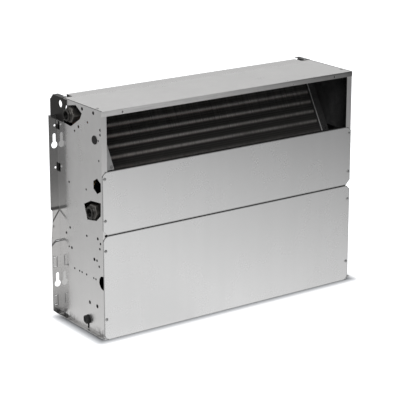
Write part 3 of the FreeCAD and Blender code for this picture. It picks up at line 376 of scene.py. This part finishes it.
def case_marks(finish, shade, rough):
    """The case sheets: painted shade inside, at the top edge and by the rear fold, painted light upwards,
    mottled dark foot.
    """
    across, back, up = finish.axes(finish.place)
    out = abs(across) - WEB_FACE
    flange = out.past(0)
    web = out.reaches(0)
    streaks, lip = lip_marks(finish)
    # painted light: the webs made lighter towards the top
    sheen = web * (1 - flange) * up.ramp(*PAINTED_SHEEN_RISE, 0.0, 0.08)
    # painted shadow: a dark line along the top edge at the top panel's left end
    brim_shadow = up.reaches(CASE_TOP) * (across - TOP_END).ramp(*BRIM_SHADOW, 0.75, 0.0)
    # painted shade: the web darkened in its last millimetres before the rear fold
    fold_shadow = (back - FOLD).ramp(*FOLD_SHADOW) * (1 - flange) * 0.3
    # darker mottled band low on the webs, near the rear and near the front
    foot_mottle = up.ramp(*MOTTLE_RISE, 1.0, 0.0) * web * finish.noise(120, 3).ramp(0.42, 0.58)
    foot_mottle = foot_mottle * (back.ramp(*MOTTLE_REAR) + back.ramp(*MOTTLE_FRONT, 0.8, 0.0))
    # painted shade on inner faces and hole walls, times the lip's and the flange's painted shade
    shade = (shade + streaks + sheen) * (1 - painted_shade_inside(finish) * 0.93) * lip * flange_marks(out, up)
    shade = shade * (1 - brim_shadow) * (1 - fold_shadow) * (1 - foot_mottle * 0.55)
    return shade, rough - (back - FOLD).ramp(*FOLD_SMOOTH) * 0.18


def lip_marks(finish):
    """Streaks to add along the top panel's lip, and the share of shade left on it after painted shade at
    its fold and right end and painted light at its left.
    """
    across, back, up = finish.axes(finish.place)
    lip = (back - LIP_FACE).ramp(2 * HAIR, 5 * HAIR, 1.0, 0.0) * up.ramp(LIP_EDGE - 10 * HAIR, LIP_EDGE)
    streaks = (finish.noise(500, 2, (0.02, 1, 1)) - 0.5) * lip * 0.5
    # painted shadow: the lip darker just under its top fold, more so to the right
    lip_fold_shadow = lip * across.ramp(0.0, 0.36) * (up - CASE_TOP).ramp(*LIP_FOLD_SHADOW, 0.05, 0.45)
    # painted shade on the lip, deeper towards the right end, and painted light at its left, where it goes
    # below nought
    painted_lip_shade = across.ramp(0.1, 0.33) * 0.38 + across.ramp(0.325, 0.35) * 0.14
    painted_lip_shade = painted_lip_shade - across.ramp(-0.1, 0.15, 0.22, 0.0)
    return streaks, (1 - lip_fold_shadow) * (1 - painted_lip_shade * lip)


def flange_marks(out, up):
    """The share of shade on the wall flange after painted shade above the split, at its edge, slits and
    foot, and painted light below.
    """
    flange = out.past(0)
    upper = up.ramp(FLANGE_SPLIT - 10 * HAIR, FLANGE_SPLIT)
    # painted shade: the flange above the split darkened, less so upwards; darker near the foot, and
    # painted light higher on the lower length
    shaded = upper * (0.45 + up.ramp(FLANGE_SPLIT, FLANGE_SPLIT + FLANGE_GLOOM) * 0.2)
    shaded = shaded + up.ramp(*FLANGE_FOOT_SHADE, 0.28, 0.0) - (1 - upper) * up.ramp(*FLANGE_PAINTED_LIGHT, 0.0, 0.14)
    # painted shadow: a dark band just above the split, where the upper length steps off the lower
    split_edge_shadow = abs(up - FLANGE_SPLIT - SPLIT_SHADOW_RISE).ramp(*SPLIT_SHADOW_EDGE, 0.75, 0.0)
    # painted shadow lines along the slits and round the knock-outs
    slits = flange_slit_shadows(out, up) * 0.85
    return (1 - flange * shaded) * (1 - flange * slits) * (1 - flange * split_edge_shadow)


def flange_slit_shadows(out, up):
    """One along the flange's two slits and round its knock-outs, where painted shadow lines go, nought
    elsewhere.

    The lower slit is level up to its bend and then slopes down outwards; the upper one slopes from the
    fold. Each knock-out is the rim of a rectangle.
    """
    bent = (out - SLIT_BEND).calculate("MAXIMUM", 0.0)
    marks = abs(up - SLIT_LOW + bent * SLIT_SLOPE).ramp(*SLIT_EDGE, 1.0, 0.0)
    marks = marks + abs(up - FLANGE_SPLIT + out * SPLIT_SLOPE).ramp(*SPLIT_EDGE, 1.0, 0.0)
    for low in KNOCKOUTS:
        beside = abs(out - KNOCKOUT_MIDDLE) - KNOCKOUT_WIDTH / 2
        above = abs(up - low - KNOCKOUT_HEIGHT / 2) - KNOCKOUT_HEIGHT / 2
        marks = marks + abs(beside.calculate("MAXIMUM", above)).ramp(*KNOCKOUT_EDGE, 1.0, 0.0)
    return marks.calculate("MINIMUM", 1.0)


def front_marks(finish, shade, rough):
    """The front panels: painted shade behind the face, with a painted shadow line along the cut edge,
    wider at the corners.

    The line lies a little inside a rounded rectangle, which is where |max(|p| - half + r, 0)| = r.
    """
    across, back, up = finish.axes(finish.place)
    # painted shade on the panels' backs and cut edges, and painted shadow lines along the edges and round
    # the corners
    dark = back.past(PANEL_FACE) * 0.55
    for node in ("front_panel_upper", "front_panel_lower"):
        low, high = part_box(node)
        middle, half = (low.z + high.z) / 2, (high.z - low.z) / 2
        beside = (abs(across) - (high.x - PANEL_CORNER)).calculate("MAXIMUM", 0.0)
        above = (abs(up - middle) - (half - PANEL_CORNER)).calculate("MAXIMUM", 0.0)
        gap = abs((beside * beside + above * above).calculate("SQRT") - PANEL_CORNER + PANEL_LINE)
        turn = beside.calculate("MINIMUM", above).ramp(*PANEL_TURN)
        dark = dark + gap.ramp(*PANEL_LINE_FADE, 0.42, 0.0) + turn * gap.ramp(*PANEL_TURN_FADE, 0.38, 0.0)
    return shade * (1 - dark.calculate("MINIMUM", 0.85)), rough


def plate_marks(finish, shade, rough):
    """The coil's plates: painted shade on the right one's inner face, behind its front edge, which stays
    bright.
    """
    across = finish.axes(finish.place)[0]
    inner = abs(across - PLATE_FACE).ramp(HAIR, 3 * HAIR, 1.0, 0.0)
    behind = finish.along(COIL.depth, COIL.corner).ramp(*PLATE_EDGE)
    # painted shade behind the plate's front edge
    return shade * (1 - inner * behind * 0.85), rough


def painted_shade_inside(finish):
    """One within the skin of the webs, the jambs, the rear panel and the top, where painted shade goes on
    inner faces and hole walls; nought on it.
    """
    across, back, up = finish.axes(finish.place)
    behind = back.ramp(JAMB_BACK, JAMB_BACK + 2 * HAIR) * back.short_of(FOLD)
    return abs(across).short_of(WEB_FACE) * behind * up.short_of(CASE_TOP)


def fin_coat():
    """Dark fins with a broken bright line over each tube and finer, dimmer lines between the tubes, under
    painted light upwards and painted shade to the right and at the lowest tube.
    """
    finish = Finish("fin_coat", 0.3, 0.5)
    across = finish.axes(finish.place)[0]
    rise = finish.along(COIL.slope, COIL.corner)
    phase = ((rise - TUBE_FIRST) / TUBE_PITCH + 0.5).fraction() - 0.5
    speck = finish.noise(500, 2)
    bloom = finish.noise(30, 3, (1, 0.4, 0.4))
    edge = abs(phase) * TUBE_PITCH + (speck - 0.5) * 0.0015
    band = edge.ramp(TUBE_RADIUS * 0.2, TUBE_RADIUS * 1.05, 1.0, 0.0)
    # painted light and shade on the bands: brighter upwards, dimmer to the right and at the lowest tube
    high = rise.ramp(0.0, COIL.length, 0.75, 1.8) * across.ramp(-0.1, 0.3, 1.0, 0.6)
    high = high * rise.ramp(TUBE_PITCH * 0.6, TUBE_PITCH * 1.1, 0.3, 1.0)
    thread = finish.noise(240, 1, (1, 0.04, 0.04)) - 0.5
    lines = abs((phase * 5).fraction() - 0.5).ramp(0.05, 0.45, -0.02, 0.05)
    over_tubes = band * high * (0.40 + bloom * 0.6) * (0.5 + speck * 0.9) * (1 + thread)
    # painted light between the tubes, growing upwards, plus the fine lines
    between = rise.ramp(COIL.length * 0.25, COIL.length, 0.0, 0.10) * (1 + thread * 2.4)
    between = between + lines * (0.5 + speck)
    finish.blend((0.07, 0.068, 0.066), (0.90, 0.88, 0.86), over_tubes + between)
    finish.bump(speck, 0.0002)
    return finish.material


def dark_steel():
    """Dark sheet with a worn sheen."""
    finish = Finish("dark_steel", 0.7, 0.38)
    cloud = finish.noise(25, 3) - 0.5
    grain = finish.noise(800, 2) - 0.5
    finish.paint((0.024, 0.023, 0.022), 1 + cloud * 0.8 + grain * 0.3)
    finish.link("Roughness", 0.4 + cloud * 0.2 + grain * 0.1)
    finish.bump(grain, 0.00008)
    return finish.material


def plain_metal(name, tone, roughness):
    """Turned or drawn metal with fine streaks and a little tarnish."""
    finish = Finish(name, 1.0, roughness)
    streak = finish.noise(500, 2, (1, 0.1, 0.1)) - 0.5
    tarnish = finish.noise(60, 3) - 0.5
    finish.paint(tone, 1 + streak * 0.2 + tarnish * 0.5)
    finish.link("Roughness", roughness + tarnish * 0.25 + streak * 0.1)
    finish.bump(streak, 0.00004)
    return finish.material


def union_metal():
    """Dull dark metal, with painted shade in the bores and on the noses of both unions and painted light
    on their hexagons.
    """
    finish = Finish("union_metal", 0.75, 0.4)
    streak = finish.noise(500, 2, (1, 0.1, 0.1)) - 0.5
    tarnish = finish.noise(60, 3) - 0.5
    flat = finish.vector("MULTIPLY", {0: finish.place, 1: (0, 1, 1)})
    shade = 1 + streak * 0.3 + tarnish * 0.7
    for node in ("union_return", "union_supply"):
        low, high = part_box(node)
        middle = (0, (low.y + high.y) / 2, (low.z + high.z) / 2)
        away = finish.distance(flat, middle)
        # painted shade in the bore and on the nose, painted light beyond the hexagon's ring
        shade = shade * away.ramp(*UNION_BORE, 0.05, 0.55) * away.ramp(*UNION_HEXAGON, 1.0, 2.4)
    finish.paint((0.062, 0.059, 0.055), shade)
    finish.link("Roughness", 0.4 + tarnish * 0.25)
    finish.bump(streak, 0.00004)
    return finish.material


def moulded(name, tone, roughness, relief=0.00005, specular=0.5):
    """Moulded plastic or rubber with a fine matt texture."""
    finish = Finish(name, 0.0, roughness, specular)
    grain = finish.noise(1200, 2) - 0.5
    cloud = finish.noise(20, 2) - 0.5
    finish.paint(tone, 1 + grain * 0.35 + cloud * 0.2)
    finish.link("Roughness", roughness + cloud * 0.15)
    finish.bump(grain, relief)
    return finish.material


def foam():
    """Closed-cell foam: small pores in a matt skin, which is paler towards the back."""
    finish = Finish("foam", 0.0, 0.95, 0.15)
    pore = finish.node("ShaderNodeTexVoronoi", {}, {"Vector": finish.place, "Scale": 420.0}, "Distance")
    cloud = finish.noise(60, 3)
    back = finish.axes(finish.place)[1]
    # darker near the front, paler towards the back
    paler_backwards = back.ramp(PANEL_FACE + 0.01, PANEL_FACE + 0.07, 0.25, 2.4)
    finish.paint((0.016, 0.016, 0.016), (0.2 + pore * 0.7 + cloud * 1.1) * paler_backwards)
    finish.bump(pore, 0.0006)
    return finish.material


def net():
    """Filter net of woven dark yarn."""
    finish = Finish("net", 0.0, 0.9)
    weave = finish.noise(900, 2)
    finish.paint((0.05, 0.052, 0.055), 0.6 + weave * 0.8)
    finish.bump(weave, 0.0002)
    return finish.material


FINISHES = {
    "galvanised_case": zinc("zinc_case", (0.66, 0.655, 0.65), 0.30, 0.03, grain=0.03, fold=0.0008,
                            marks=case_marks),
    "galvanised_front": zinc("zinc_front", (0.71, 0.71, 0.71), 0.27, 0.004, grain=0.02, fold=0.0004,
                             relief=0.000004, marks=front_marks),
    "dark_bracket": dark_steel(),
    "coil_fin": fin_coat(),
    "coil_plate": zinc("zinc_coil", (0.62, 0.62, 0.62), 0.40, 0.08, metallic=0.4, marks=plate_marks),
    "copper": plain_metal("copper", (0.50, 0.25, 0.15), 0.35),
    "union_metal": union_metal(),
    "valve_metal": plain_metal("brass", (0.62, 0.46, 0.21), 0.3),
    "zinc_screw": plain_metal("screw_metal", (0.42, 0.42, 0.42), 0.33),
    "fan_plastic": moulded("fan_plastic", (0.028, 0.028, 0.030), 0.5),
    "scroll_sheet": zinc("zinc_scroll", (0.50, 0.50, 0.50), 0.40, 0.12),
    "motor_paint": moulded("motor_paint", (0.06, 0.065, 0.07), 0.35),
    "shaft_steel": plain_metal("shaft_steel", (0.50, 0.50, 0.50), 0.22),
    "black_rubber": moulded("black_rubber", (0.012, 0.012, 0.012), 0.6, 0.0001, 0.25),
    "black_foam": foam(),
    "capacitor_plastic": moulded("capacitor_plastic", (0.66, 0.66, 0.63), 0.4),
    "filter_frame_metal": plain_metal("filter_frame", (0.55, 0.55, 0.56), 0.4),
    "filter_cloth": net(),
    "box_plastic": moulded("box_plastic", (0.09, 0.09, 0.095), 0.45),
    "strip_plastic": moulded("strip_plastic", (0.55, 0.54, 0.48), 0.45),
}


# Surfaces
def add_mesh(name, points, faces, slot, nodes, smooth=True):
    """An object at the origin from points and lists of faces, in place of nodes of the case."""
    mesh = bpy.data.meshes.new(name)
    corners = [face for group in faces for face in group.tolist()]
    mesh.from_pydata(points.reshape(-1, 3).tolist(), [], corners)
    mesh.update()
    mesh.polygons.foreach_set("use_smooth", [smooth] * len(mesh.polygons))
    made = bpy.data.objects.new(name, mesh)
    bpy.context.scene.collection.objects.link(made)
    mesh.materials.append(FINISHES[slot])
    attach(made, "case")
    if nodes:
        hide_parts(*nodes)


def grid_faces(rows, columns, closed_rows=False, closed_columns=False):
    """Quads of a grid of points stored row by row, joined round where it is closed."""
    row = np.arange(rows if closed_rows else rows - 1)[:, None]
    column = np.arange(columns if closed_columns else columns - 1)[None, :]
    next_row = (row + 1) % rows
    next_column = (column + 1) % columns
    corners = [row * columns + column, row * columns + next_column,
               next_row * columns + next_column, next_row * columns + column]
    return np.stack([corner + 0 * (row + column) for corner in corners], axis=-1).reshape(-1, 4)


def repeated(faces, count, points_each):
    """The same faces for each of several equal sets of points."""
    return (faces[None] + (np.arange(count) * points_each)[:, None, None]).reshape(-1, faces.shape[1])


def turned(radii, heights, angles):
    """Rows of points at polar places: (r cos t, r sin t, h), with a point at each end to close it."""
    rows = np.stack([radii * np.cos(angles), radii * np.sin(angles), heights + 0 * angles], axis=-1)
    count = rows.shape[1]
    ends = [rows[0].mean(axis=0, keepdims=True), rows[-1].mean(axis=0, keepdims=True)]
    points = np.concatenate([rows.reshape(-1, 3), *ends])
    wall = grid_faces(*rows.shape[:2], closed_columns=True)
    ring = np.arange(count)
    last = (rows.shape[0] - 1) * count
    first_fan = np.stack([np.roll(ring, -1), ring, 0 * ring + len(points) - 2], axis=-1)
    last_fan = np.stack([last + ring, last + np.roll(ring, -1), 0 * ring + len(points) - 1], axis=-1)
    return points, [wall, first_fan, last_fan]


def node_points(node):
    """The corner points of a carried-over node."""
    data = frame["nodes"][node].data
    points = np.empty(len(data.vertices) * 3)
    data.vertices.foreach_get("co", points)
    return points.reshape(-1, 3)


def head_centres(node, outward):
    """Middle of each screw head's outer face, from the node's own points farthest outwards."""
    points = node_points(node)
    reach = points @ outward
    heads = points[reach > reach.max() - HAIR]
    near = np.linalg.norm(heads[:, None] - heads[None], axis=-1) < HEAD_SPREAD
    first = near.argmax(axis=1)
    groups = [heads[first == index] for index in np.unique(first)]
    return np.array([(group.min(axis=0) + group.max(axis=0)) / 2 for group in groups])


def screw_heads(name, node, outward):
    """Pan heads: h = height (1 - dome (r / radius)^2), less a cross-shaped recess, over a short shank.

    The recess fades out where the smaller of |a| and |b| nears the slot's half width or r its reach.
    """
    radius, height, dome = 0.0036, 0.002, 0.55
    shank, length = 0.0019, 0.004
    recess, half_width, reach = 0.0009, 0.00055, 0.62 * radius
    side_fade, end_fade = 0.00025, 0.0004
    outward = np.array(outward, float)
    first = np.array([1.0, 0, 0])
    second = np.cross(outward, first)
    angles = np.linspace(0, 2 * np.pi, 48, endpoint=False)[None]
    radii = np.linspace(0.02, 1, 16)[:, None] * radius + 0 * angles
    slim = np.minimum(abs(radii * np.cos(angles)), abs(radii * np.sin(angles)))
    cross = np.clip((half_width - slim) / side_fade, 0, 1) * np.clip((reach - radii) / end_fade, 0, 1)
    tops = height * (1 - dome * (radii / radius) ** 2) - recess * cross
    rims = np.array([1.0, 1.0, shank / radius, shank / radius])[:, None] * radius + 0 * angles
    feet = np.array([0.2, 0, 0, -length / height])[:, None] * height + 0 * angles
    points, faces = turned(np.concatenate([radii, rims]), np.concatenate([tops, feet]), angles)
    places = head_centres(node, outward) - outward * height
    basis = np.stack([first, second, outward])
    everywhere = places[:, None] + points @ basis
    groups = [repeated(group, len(places), len(points)) for group in faces]
    add_mesh(name, everywhere, groups, "zinc_screw", [node])


def union(name, node):
    """A union along X: threaded bore, chamfered nose, collar and a hexagon with turned corners.

    Thread: r = bore - thread depth |2 frac(x / pitch + t / 2 pi) - 1|.
    Hexagon: r = flats / (2 cos((t mod 60) - 30)), no more than the turned corner radius.
    """
    low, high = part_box(node)
    centre = np.array([0, (low.y + high.y) / 2, (low.z + high.z) / 2])
    flats = min(high.y - low.y, high.z - low.z)
    length = high.x - low.x
    bore, collar, turned_corner = flats * 0.277, flats * 0.40, flats * 0.558
    nose, chamfer, corner_chamfer = 0.0085, 0.0008, 0.0016
    depth, pitch, thread_depth, lead_in = 0.02, 0.0015, 0.0006, 0.001
    angles = np.linspace(0, 2 * np.pi, 72, endpoint=False)[None]
    steps = np.linspace(depth, lead_in, 90)[:, None]
    wave = abs(2 * np.mod(steps / pitch + angles / (2 * np.pi), 1) - 1)
    thread = bore - thread_depth * wave
    turn = np.mod(np.degrees(angles), 60) - 30
    hexagon = np.minimum(flats / 2 / np.cos(np.radians(turn)), turned_corner)
    even = 1 + 0 * angles
    profile = [(bore * 0.25 * even, depth), (bore * 0.9 * even, depth), *zip(thread, steps[:, 0]),
               (bore * 1.05 * even, 0.0), (collar * 0.93 * even, 0.0), (collar * even, chamfer),
               (collar * even, nose * 0.45), (collar * 0.94 * even, nose * 0.5),
               (collar * even, nose * 0.55), (collar * even, nose), (flats / 2 * even, nose),
               (hexagon, nose + corner_chamfer), (hexagon, length), (bore * even, length)]
    radii = np.concatenate([np.reshape(row, (1, -1)) for row, level in profile])
    levels = np.array([level for row, level in profile])[:, None]
    points, faces = turned(radii, low.x + levels, angles)
    points = points[:, [2, 0, 1]] + centre
    add_mesh(name, points, faces, "union_metal", [node])


def bung_cap():
    """Lobed cap proud of the bung, with a wall, a rounded brow and a dished top.

    Its outline is r = R (1 + lobe cos 5t), where R is a little less than the bung's radius.
    """
    sunk, wall, brow, rim, dish, lobe = 0.0008, 0.0045, 0.0022, 0.0068, 0.005, 0.05
    low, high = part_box("side_bung")
    radius = (high.y - low.y) / 2
    centre = np.array([low.x, (low.y + high.y) / 2, high.z - radius])
    angles = np.linspace(0, 2 * np.pi, 60, endpoint=False)[None]
    quarter = np.linspace(0, np.pi / 2, 7)[:, None]
    lobed = 0.95 * radius * (1 + lobe * np.cos(5 * angles))
    radii = [lobed, lobed - brow * (1 - np.cos(quarter)), lobed * 0.62, lobed * 0.5, lobed * 0.1]
    levels = [np.array([[-sunk]]), wall + brow * np.sin(quarter), np.array([[rim], [dish], [dish]])]
    points, faces = turned(np.concatenate(radii), np.concatenate(levels), angles)
    points = points[:, [2, 0, 1]] * np.array([-1, -1, 1]) + centre
    add_mesh("bung_cap", points, faces, "black_rubber", [])


def punched_holes(node, face):
    """Middles and radii of the small round holes in a side sheet, from its points on the outer face.

    Points nearer than the spacing belong together: each takes its neighbours' lowest number until none
    changes. A group is a hole where its height and depth are equal and it is no wider than the widest.
    """
    points = node_points(node)
    flat = np.unique(points[abs(points[:, 0] - face) < HAIR / 10].round(6), axis=0)
    near = np.linalg.norm(flat[:, None] - flat[None], axis=-1) < HOLE_SPACING
    number = np.arange(len(flat))
    while True:
        lowest = np.where(near, number[None], len(flat)).min(axis=1)
        if (lowest == number).all():
            break
        number = lowest
    groups = [flat[number == index] for index in np.unique(number)]
    spans = np.array([(group.min(axis=0), group.max(axis=0)) for group in groups if len(group) > 7])
    centres = spans.mean(axis=1)
    size = spans[:, 1] - spans[:, 0]
    small_round = (abs(size[:, 1] - size[:, 2]) < 3 * HAIR) & (size[:, 1] < HOLE_WIDEST)
    return centres[small_round], size[small_round, 1] / 2


def hole_shadow_rings(name, node, side):
    """Dark ring of painted shadow round each punched hole: a ring of rectangular section, from r - inner
    to r + outer.
    """
    inner, outer, proud, sunk = 0.0002, 0.0005, 0.0001, 0.0002
    face = side * WEB_FACE
    centres, radii = punched_holes(node, face)
    angles = np.linspace(0, 2 * np.pi, 20, endpoint=False)
    steps = np.array([-inner, outer, outer, -inner])[:, None]
    levels = np.array([proud, proud, -sunk, -sunk])[:, None] * side
    reach = radii[:, None, None] + steps + 0 * angles
    points = np.stack([face + levels + 0 * reach, reach * np.cos(angles) + centres[:, None, None, 1],
                       reach * np.sin(angles) + centres[:, None, None, 2]], axis=-1)
    ring = grid_faces(4, len(angles), closed_rows=True, closed_columns=True)
    if side < 0:
        ring = ring[:, ::-1]
    rings = [repeated(ring, len(radii), 4 * len(angles))]
    add_mesh(name, points, rings, "dark_bracket", [], smooth=False)


def fin_stack():
    """Fins as thin closed plates: x = x0 + swing sin(2 pi rise / ripple + pi inward / thickness)."""
    pitch, sheet, inset, ripple, swing = 0.0034, 0.0003, 0.0003, 0.0125, 0.0005
    count = int((COIL.width - 4 * swing) / pitch)
    rises = np.linspace(0, COIL.length, 37)
    depths = np.linspace(inset, COIL.thick - inset, 4)
    rise, inward = np.meshgrid(rises, depths, indexing="ij")
    flat = COIL.corner + rise[..., None] * COIL.slope + inward[..., None] * COIL.depth
    wave = swing * np.sin(2 * np.pi * rise / ripple + inward / COIL.thick * np.pi)
    starts = COIL.corner[0] + 2 * swing + pitch / 2 + np.arange(count) * pitch
    points = np.repeat(flat[None, None], count, axis=0).repeat(2, axis=1)
    side = np.array([-sheet / 2, sheet / 2])[None, :, None, None]
    points[..., 0] = starts[:, None, None, None] + wave + side
    rows, columns = rise.shape
    each = rows * columns
    sheet_faces = grid_faces(rows, columns)
    rim = np.concatenate([np.arange(columns), np.arange(1, rows) * columns + columns - 1,
                          (rows - 1) * columns + np.arange(columns - 2, -1, -1),
                          np.arange(rows - 2, 0, -1) * columns])
    after = np.roll(rim, -1)
    edge_faces = np.stack([rim, after, after + each, rim + each], axis=-1)
    faces = np.concatenate([sheet_faces[:, ::-1], sheet_faces + each, edge_faces])
    stacked = [repeated(faces, count, 2 * each)]
    add_mesh("fin_stack", points, stacked, "coil_fin", ["coil_fins"], smooth=False)


def dress_nodes():
    """Each carried-over node takes the finish of its slot."""
    for row in frame["record"]["subparts"]:
        materials = frame["nodes"][row["node"]].data.materials
        materials.clear()
        materials.append(FINISHES[row["material_slot"]])


# Stage, light and camera
def mirrored_paper(finish):
    """The paper's light in reflections: left of the case round a middle, in front less to the right."""
    across, back = finish.axes(finish.place)[:2]
    away = finish.distance(finish.place, GLOW_CENTRE)
    beside = away.slope(0.0, GLOW_REACH, GLOW_MIDDLE, GLOW_RIM)
    front = across.slope(*GLOW_RIGHT, 1.0, GLOW_RIGHT_RIM) * back.ramp(*PAPER_EDGE, PAPER_EDGE_GLOW, 1.0)
    share = across.ramp(*GLOW_TURN)
    return beside * (1 - share) + front * share


def stage():
    """Paper floor: white to the camera but for the contact shadow, and fading with distance in the metal.

    To the camera the paper's own light rises with the distance from the case; in reflections it falls.
    From below the paper is clear, so that the case's underside shows.
    """
    mesh = bpy.data.meshes.new("floor")
    corners = [(-1, -1), (1, -1), (1, 1), (-1, 1)]
    mesh.from_pydata([(x * PAPER_REACH, y * PAPER_REACH, 0) for x, y in corners], [], [(0, 1, 2, 3)])
    floor = bpy.data.objects.new("floor", mesh)
    bpy.context.scene.collection.objects.link(floor)
    floor.location.z = -PAPER_DROP
    finish = Finish("floor_paper", 0.0, 0.9, 0.0)
    finish.shader.inputs["Base Color"].default_value = (0.40, 0.41, 0.43, 1)
    finish.shader.inputs["Emission Strength"].default_value = 1.0
    across, back = finish.axes(finish.place)[:2]
    seen = finish.node("ShaderNodeLightPath", {}, {}, "Is Camera Ray")
    beside = (abs(across) - SHADOW_HALF_WIDTH).calculate("MAXIMUM", 0.0)
    beyond = (abs(back - SHADOW_MIDDLE) - SHADOW_HALF_DEPTH).calculate("MAXIMUM", 0.0)
    away = (beside * beside + beyond * beyond).calculate("SQRT")
    finish.link("Emission Color", finish.scaled(WHITE, seen * away.ramp(*SHADOW_FADE)))
    paper = Field(finish, finish.shader.outputs["BSDF"])
    mirrored = finish.node("ShaderNodeLightPath", {}, {}, "Is Glossy Ray")
    glow = finish.scaled(WHITE, mirrored_paper(finish))
    mirror = finish.node("ShaderNodeEmission", {}, {"Color": glow})
    above = finish.node("ShaderNodeMixShader", {}, {0: mirrored, 1: paper, 2: mirror})
    under = finish.node("ShaderNodeNewGeometry", {}, {}, "Backfacing")
    clear = finish.node("ShaderNodeBsdfTransparent", {}, {})
    shown = finish.node("ShaderNodeMixShader", {}, {0: under, 1: above, 2: clear})
    finish.graph.links.new(shown.socket, finish.output.inputs["Surface"])
    mesh.materials.append(finish.material)


def world():
    """White to the camera; else a studio, bright behind and overhead and dimmer to the right.

    The fill from the front lights the case but isn't mirrored, and metal mirrors less of the overhead.
    """
    made = bpy.data.worlds.new("studio")
    bpy.context.scene.world = made
    made.use_nodes = True
    tree = Tree(made.node_tree)
    ray = tree.node("ShaderNodeTexCoord", {}, {}, "Generated")
    across, back, up = tree.axes(ray)
    glow = SKY + back.ramp(-0.5, 0.7) * SKY_BEHIND + up.ramp(0.2, 0.95) * SKY_OVERHEAD
    glow = glow - across.ramp(0.0, 0.9) * SKY_RIGHT_LESS
    seen = tree.node("ShaderNodeLightPath", {}, {}, "Is Camera Ray")
    mirrored = tree.node("ShaderNodeLightPath", {}, {}, "Is Glossy Ray")
    glow = glow - mirrored * up.ramp(0.7, 0.95) * SKY_OVERHEAD
    fill = back.ramp(-1.0, -0.3, SKY_FRONT_FILL, 0.0) * (1 - mirrored)
    strength = seen + (1 - seen) * (glow + fill)
    light = tree.node("ShaderNodeBackground", {}, {"Color": (*WHITE, 1), "Strength": strength})
    output = tree.graph.nodes.new("ShaderNodeOutputWorld")
    tree.graph.links.new(light.socket, output.inputs["Surface"])


def softbox(name, place, target, size, power):
    """A square area light that faces a point."""
    light = bpy.data.lights.new(name, "AREA")
    light.size = size
    light.energy = power
    lamp = bpy.data.objects.new(name, light)
    bpy.context.scene.collection.objects.link(lamp)
    lamp.location = place
    lamp.rotation_euler = (Vector(target) - Vector(place)).to_track_quat("-Z", "Y").to_euler()


def camera():
    """The photograph's viewpoint: azimuth, elevation and distance about a point on the case front."""
    data = bpy.data.cameras.new("camera")
    made = bpy.data.objects.new("camera", data)
    bpy.context.scene.collection.objects.link(made)
    away = Vector((-math.sin(VIEW_AZIMUTH) * math.cos(VIEW_ELEVATION),
                   -math.cos(VIEW_AZIMUTH) * math.cos(VIEW_ELEVATION), math.sin(VIEW_ELEVATION)))
    made.location = VIEW_TARGET + away * VIEW_DISTANCE
    made.rotation_euler = (-away).to_track_quat("-Z", "Y").to_euler()
    data.sensor_width = SENSOR
    data.lens = FOCAL_PIXELS / PHOTO_SIDE * SENSOR
    data.shift_y = (AXIS_ROW - PHOTO_SIDE / 2) / PHOTO_SIDE
    data.clip_end = 100
    bpy.context.scene.camera = made


dress_nodes()
fin_stack()
screw_heads("upper_heads", "upper_panel_screws", (0, -1, 0))
screw_heads("lower_heads", "lower_panel_screws", (0, -1, 0))
screw_heads("top_heads", "top_screws", (0, 0, 1))
union("return_fitting", "union_return")
union("supply_fitting", "union_supply")
bung_cap()
# dark rings of painted shadow round the punched holes in both side sheets
hole_shadow_rings("left_hole_shadows", "side_panel_left", -1)
hole_shadow_rings("right_hole_shadows", "side_panel_right", 1)
stage()
world()
softbox("key_light", place=(-1.9, -1.6, 2.4), target=(0, 0, 0.25), size=1.6, power=38)
softbox("top_light", place=(0.2, 0.3, 2.8), target=(0, 0, 0.3), size=4.4, power=27)
camera()
bpy.context.scene.view_settings.view_transform = "Standard"
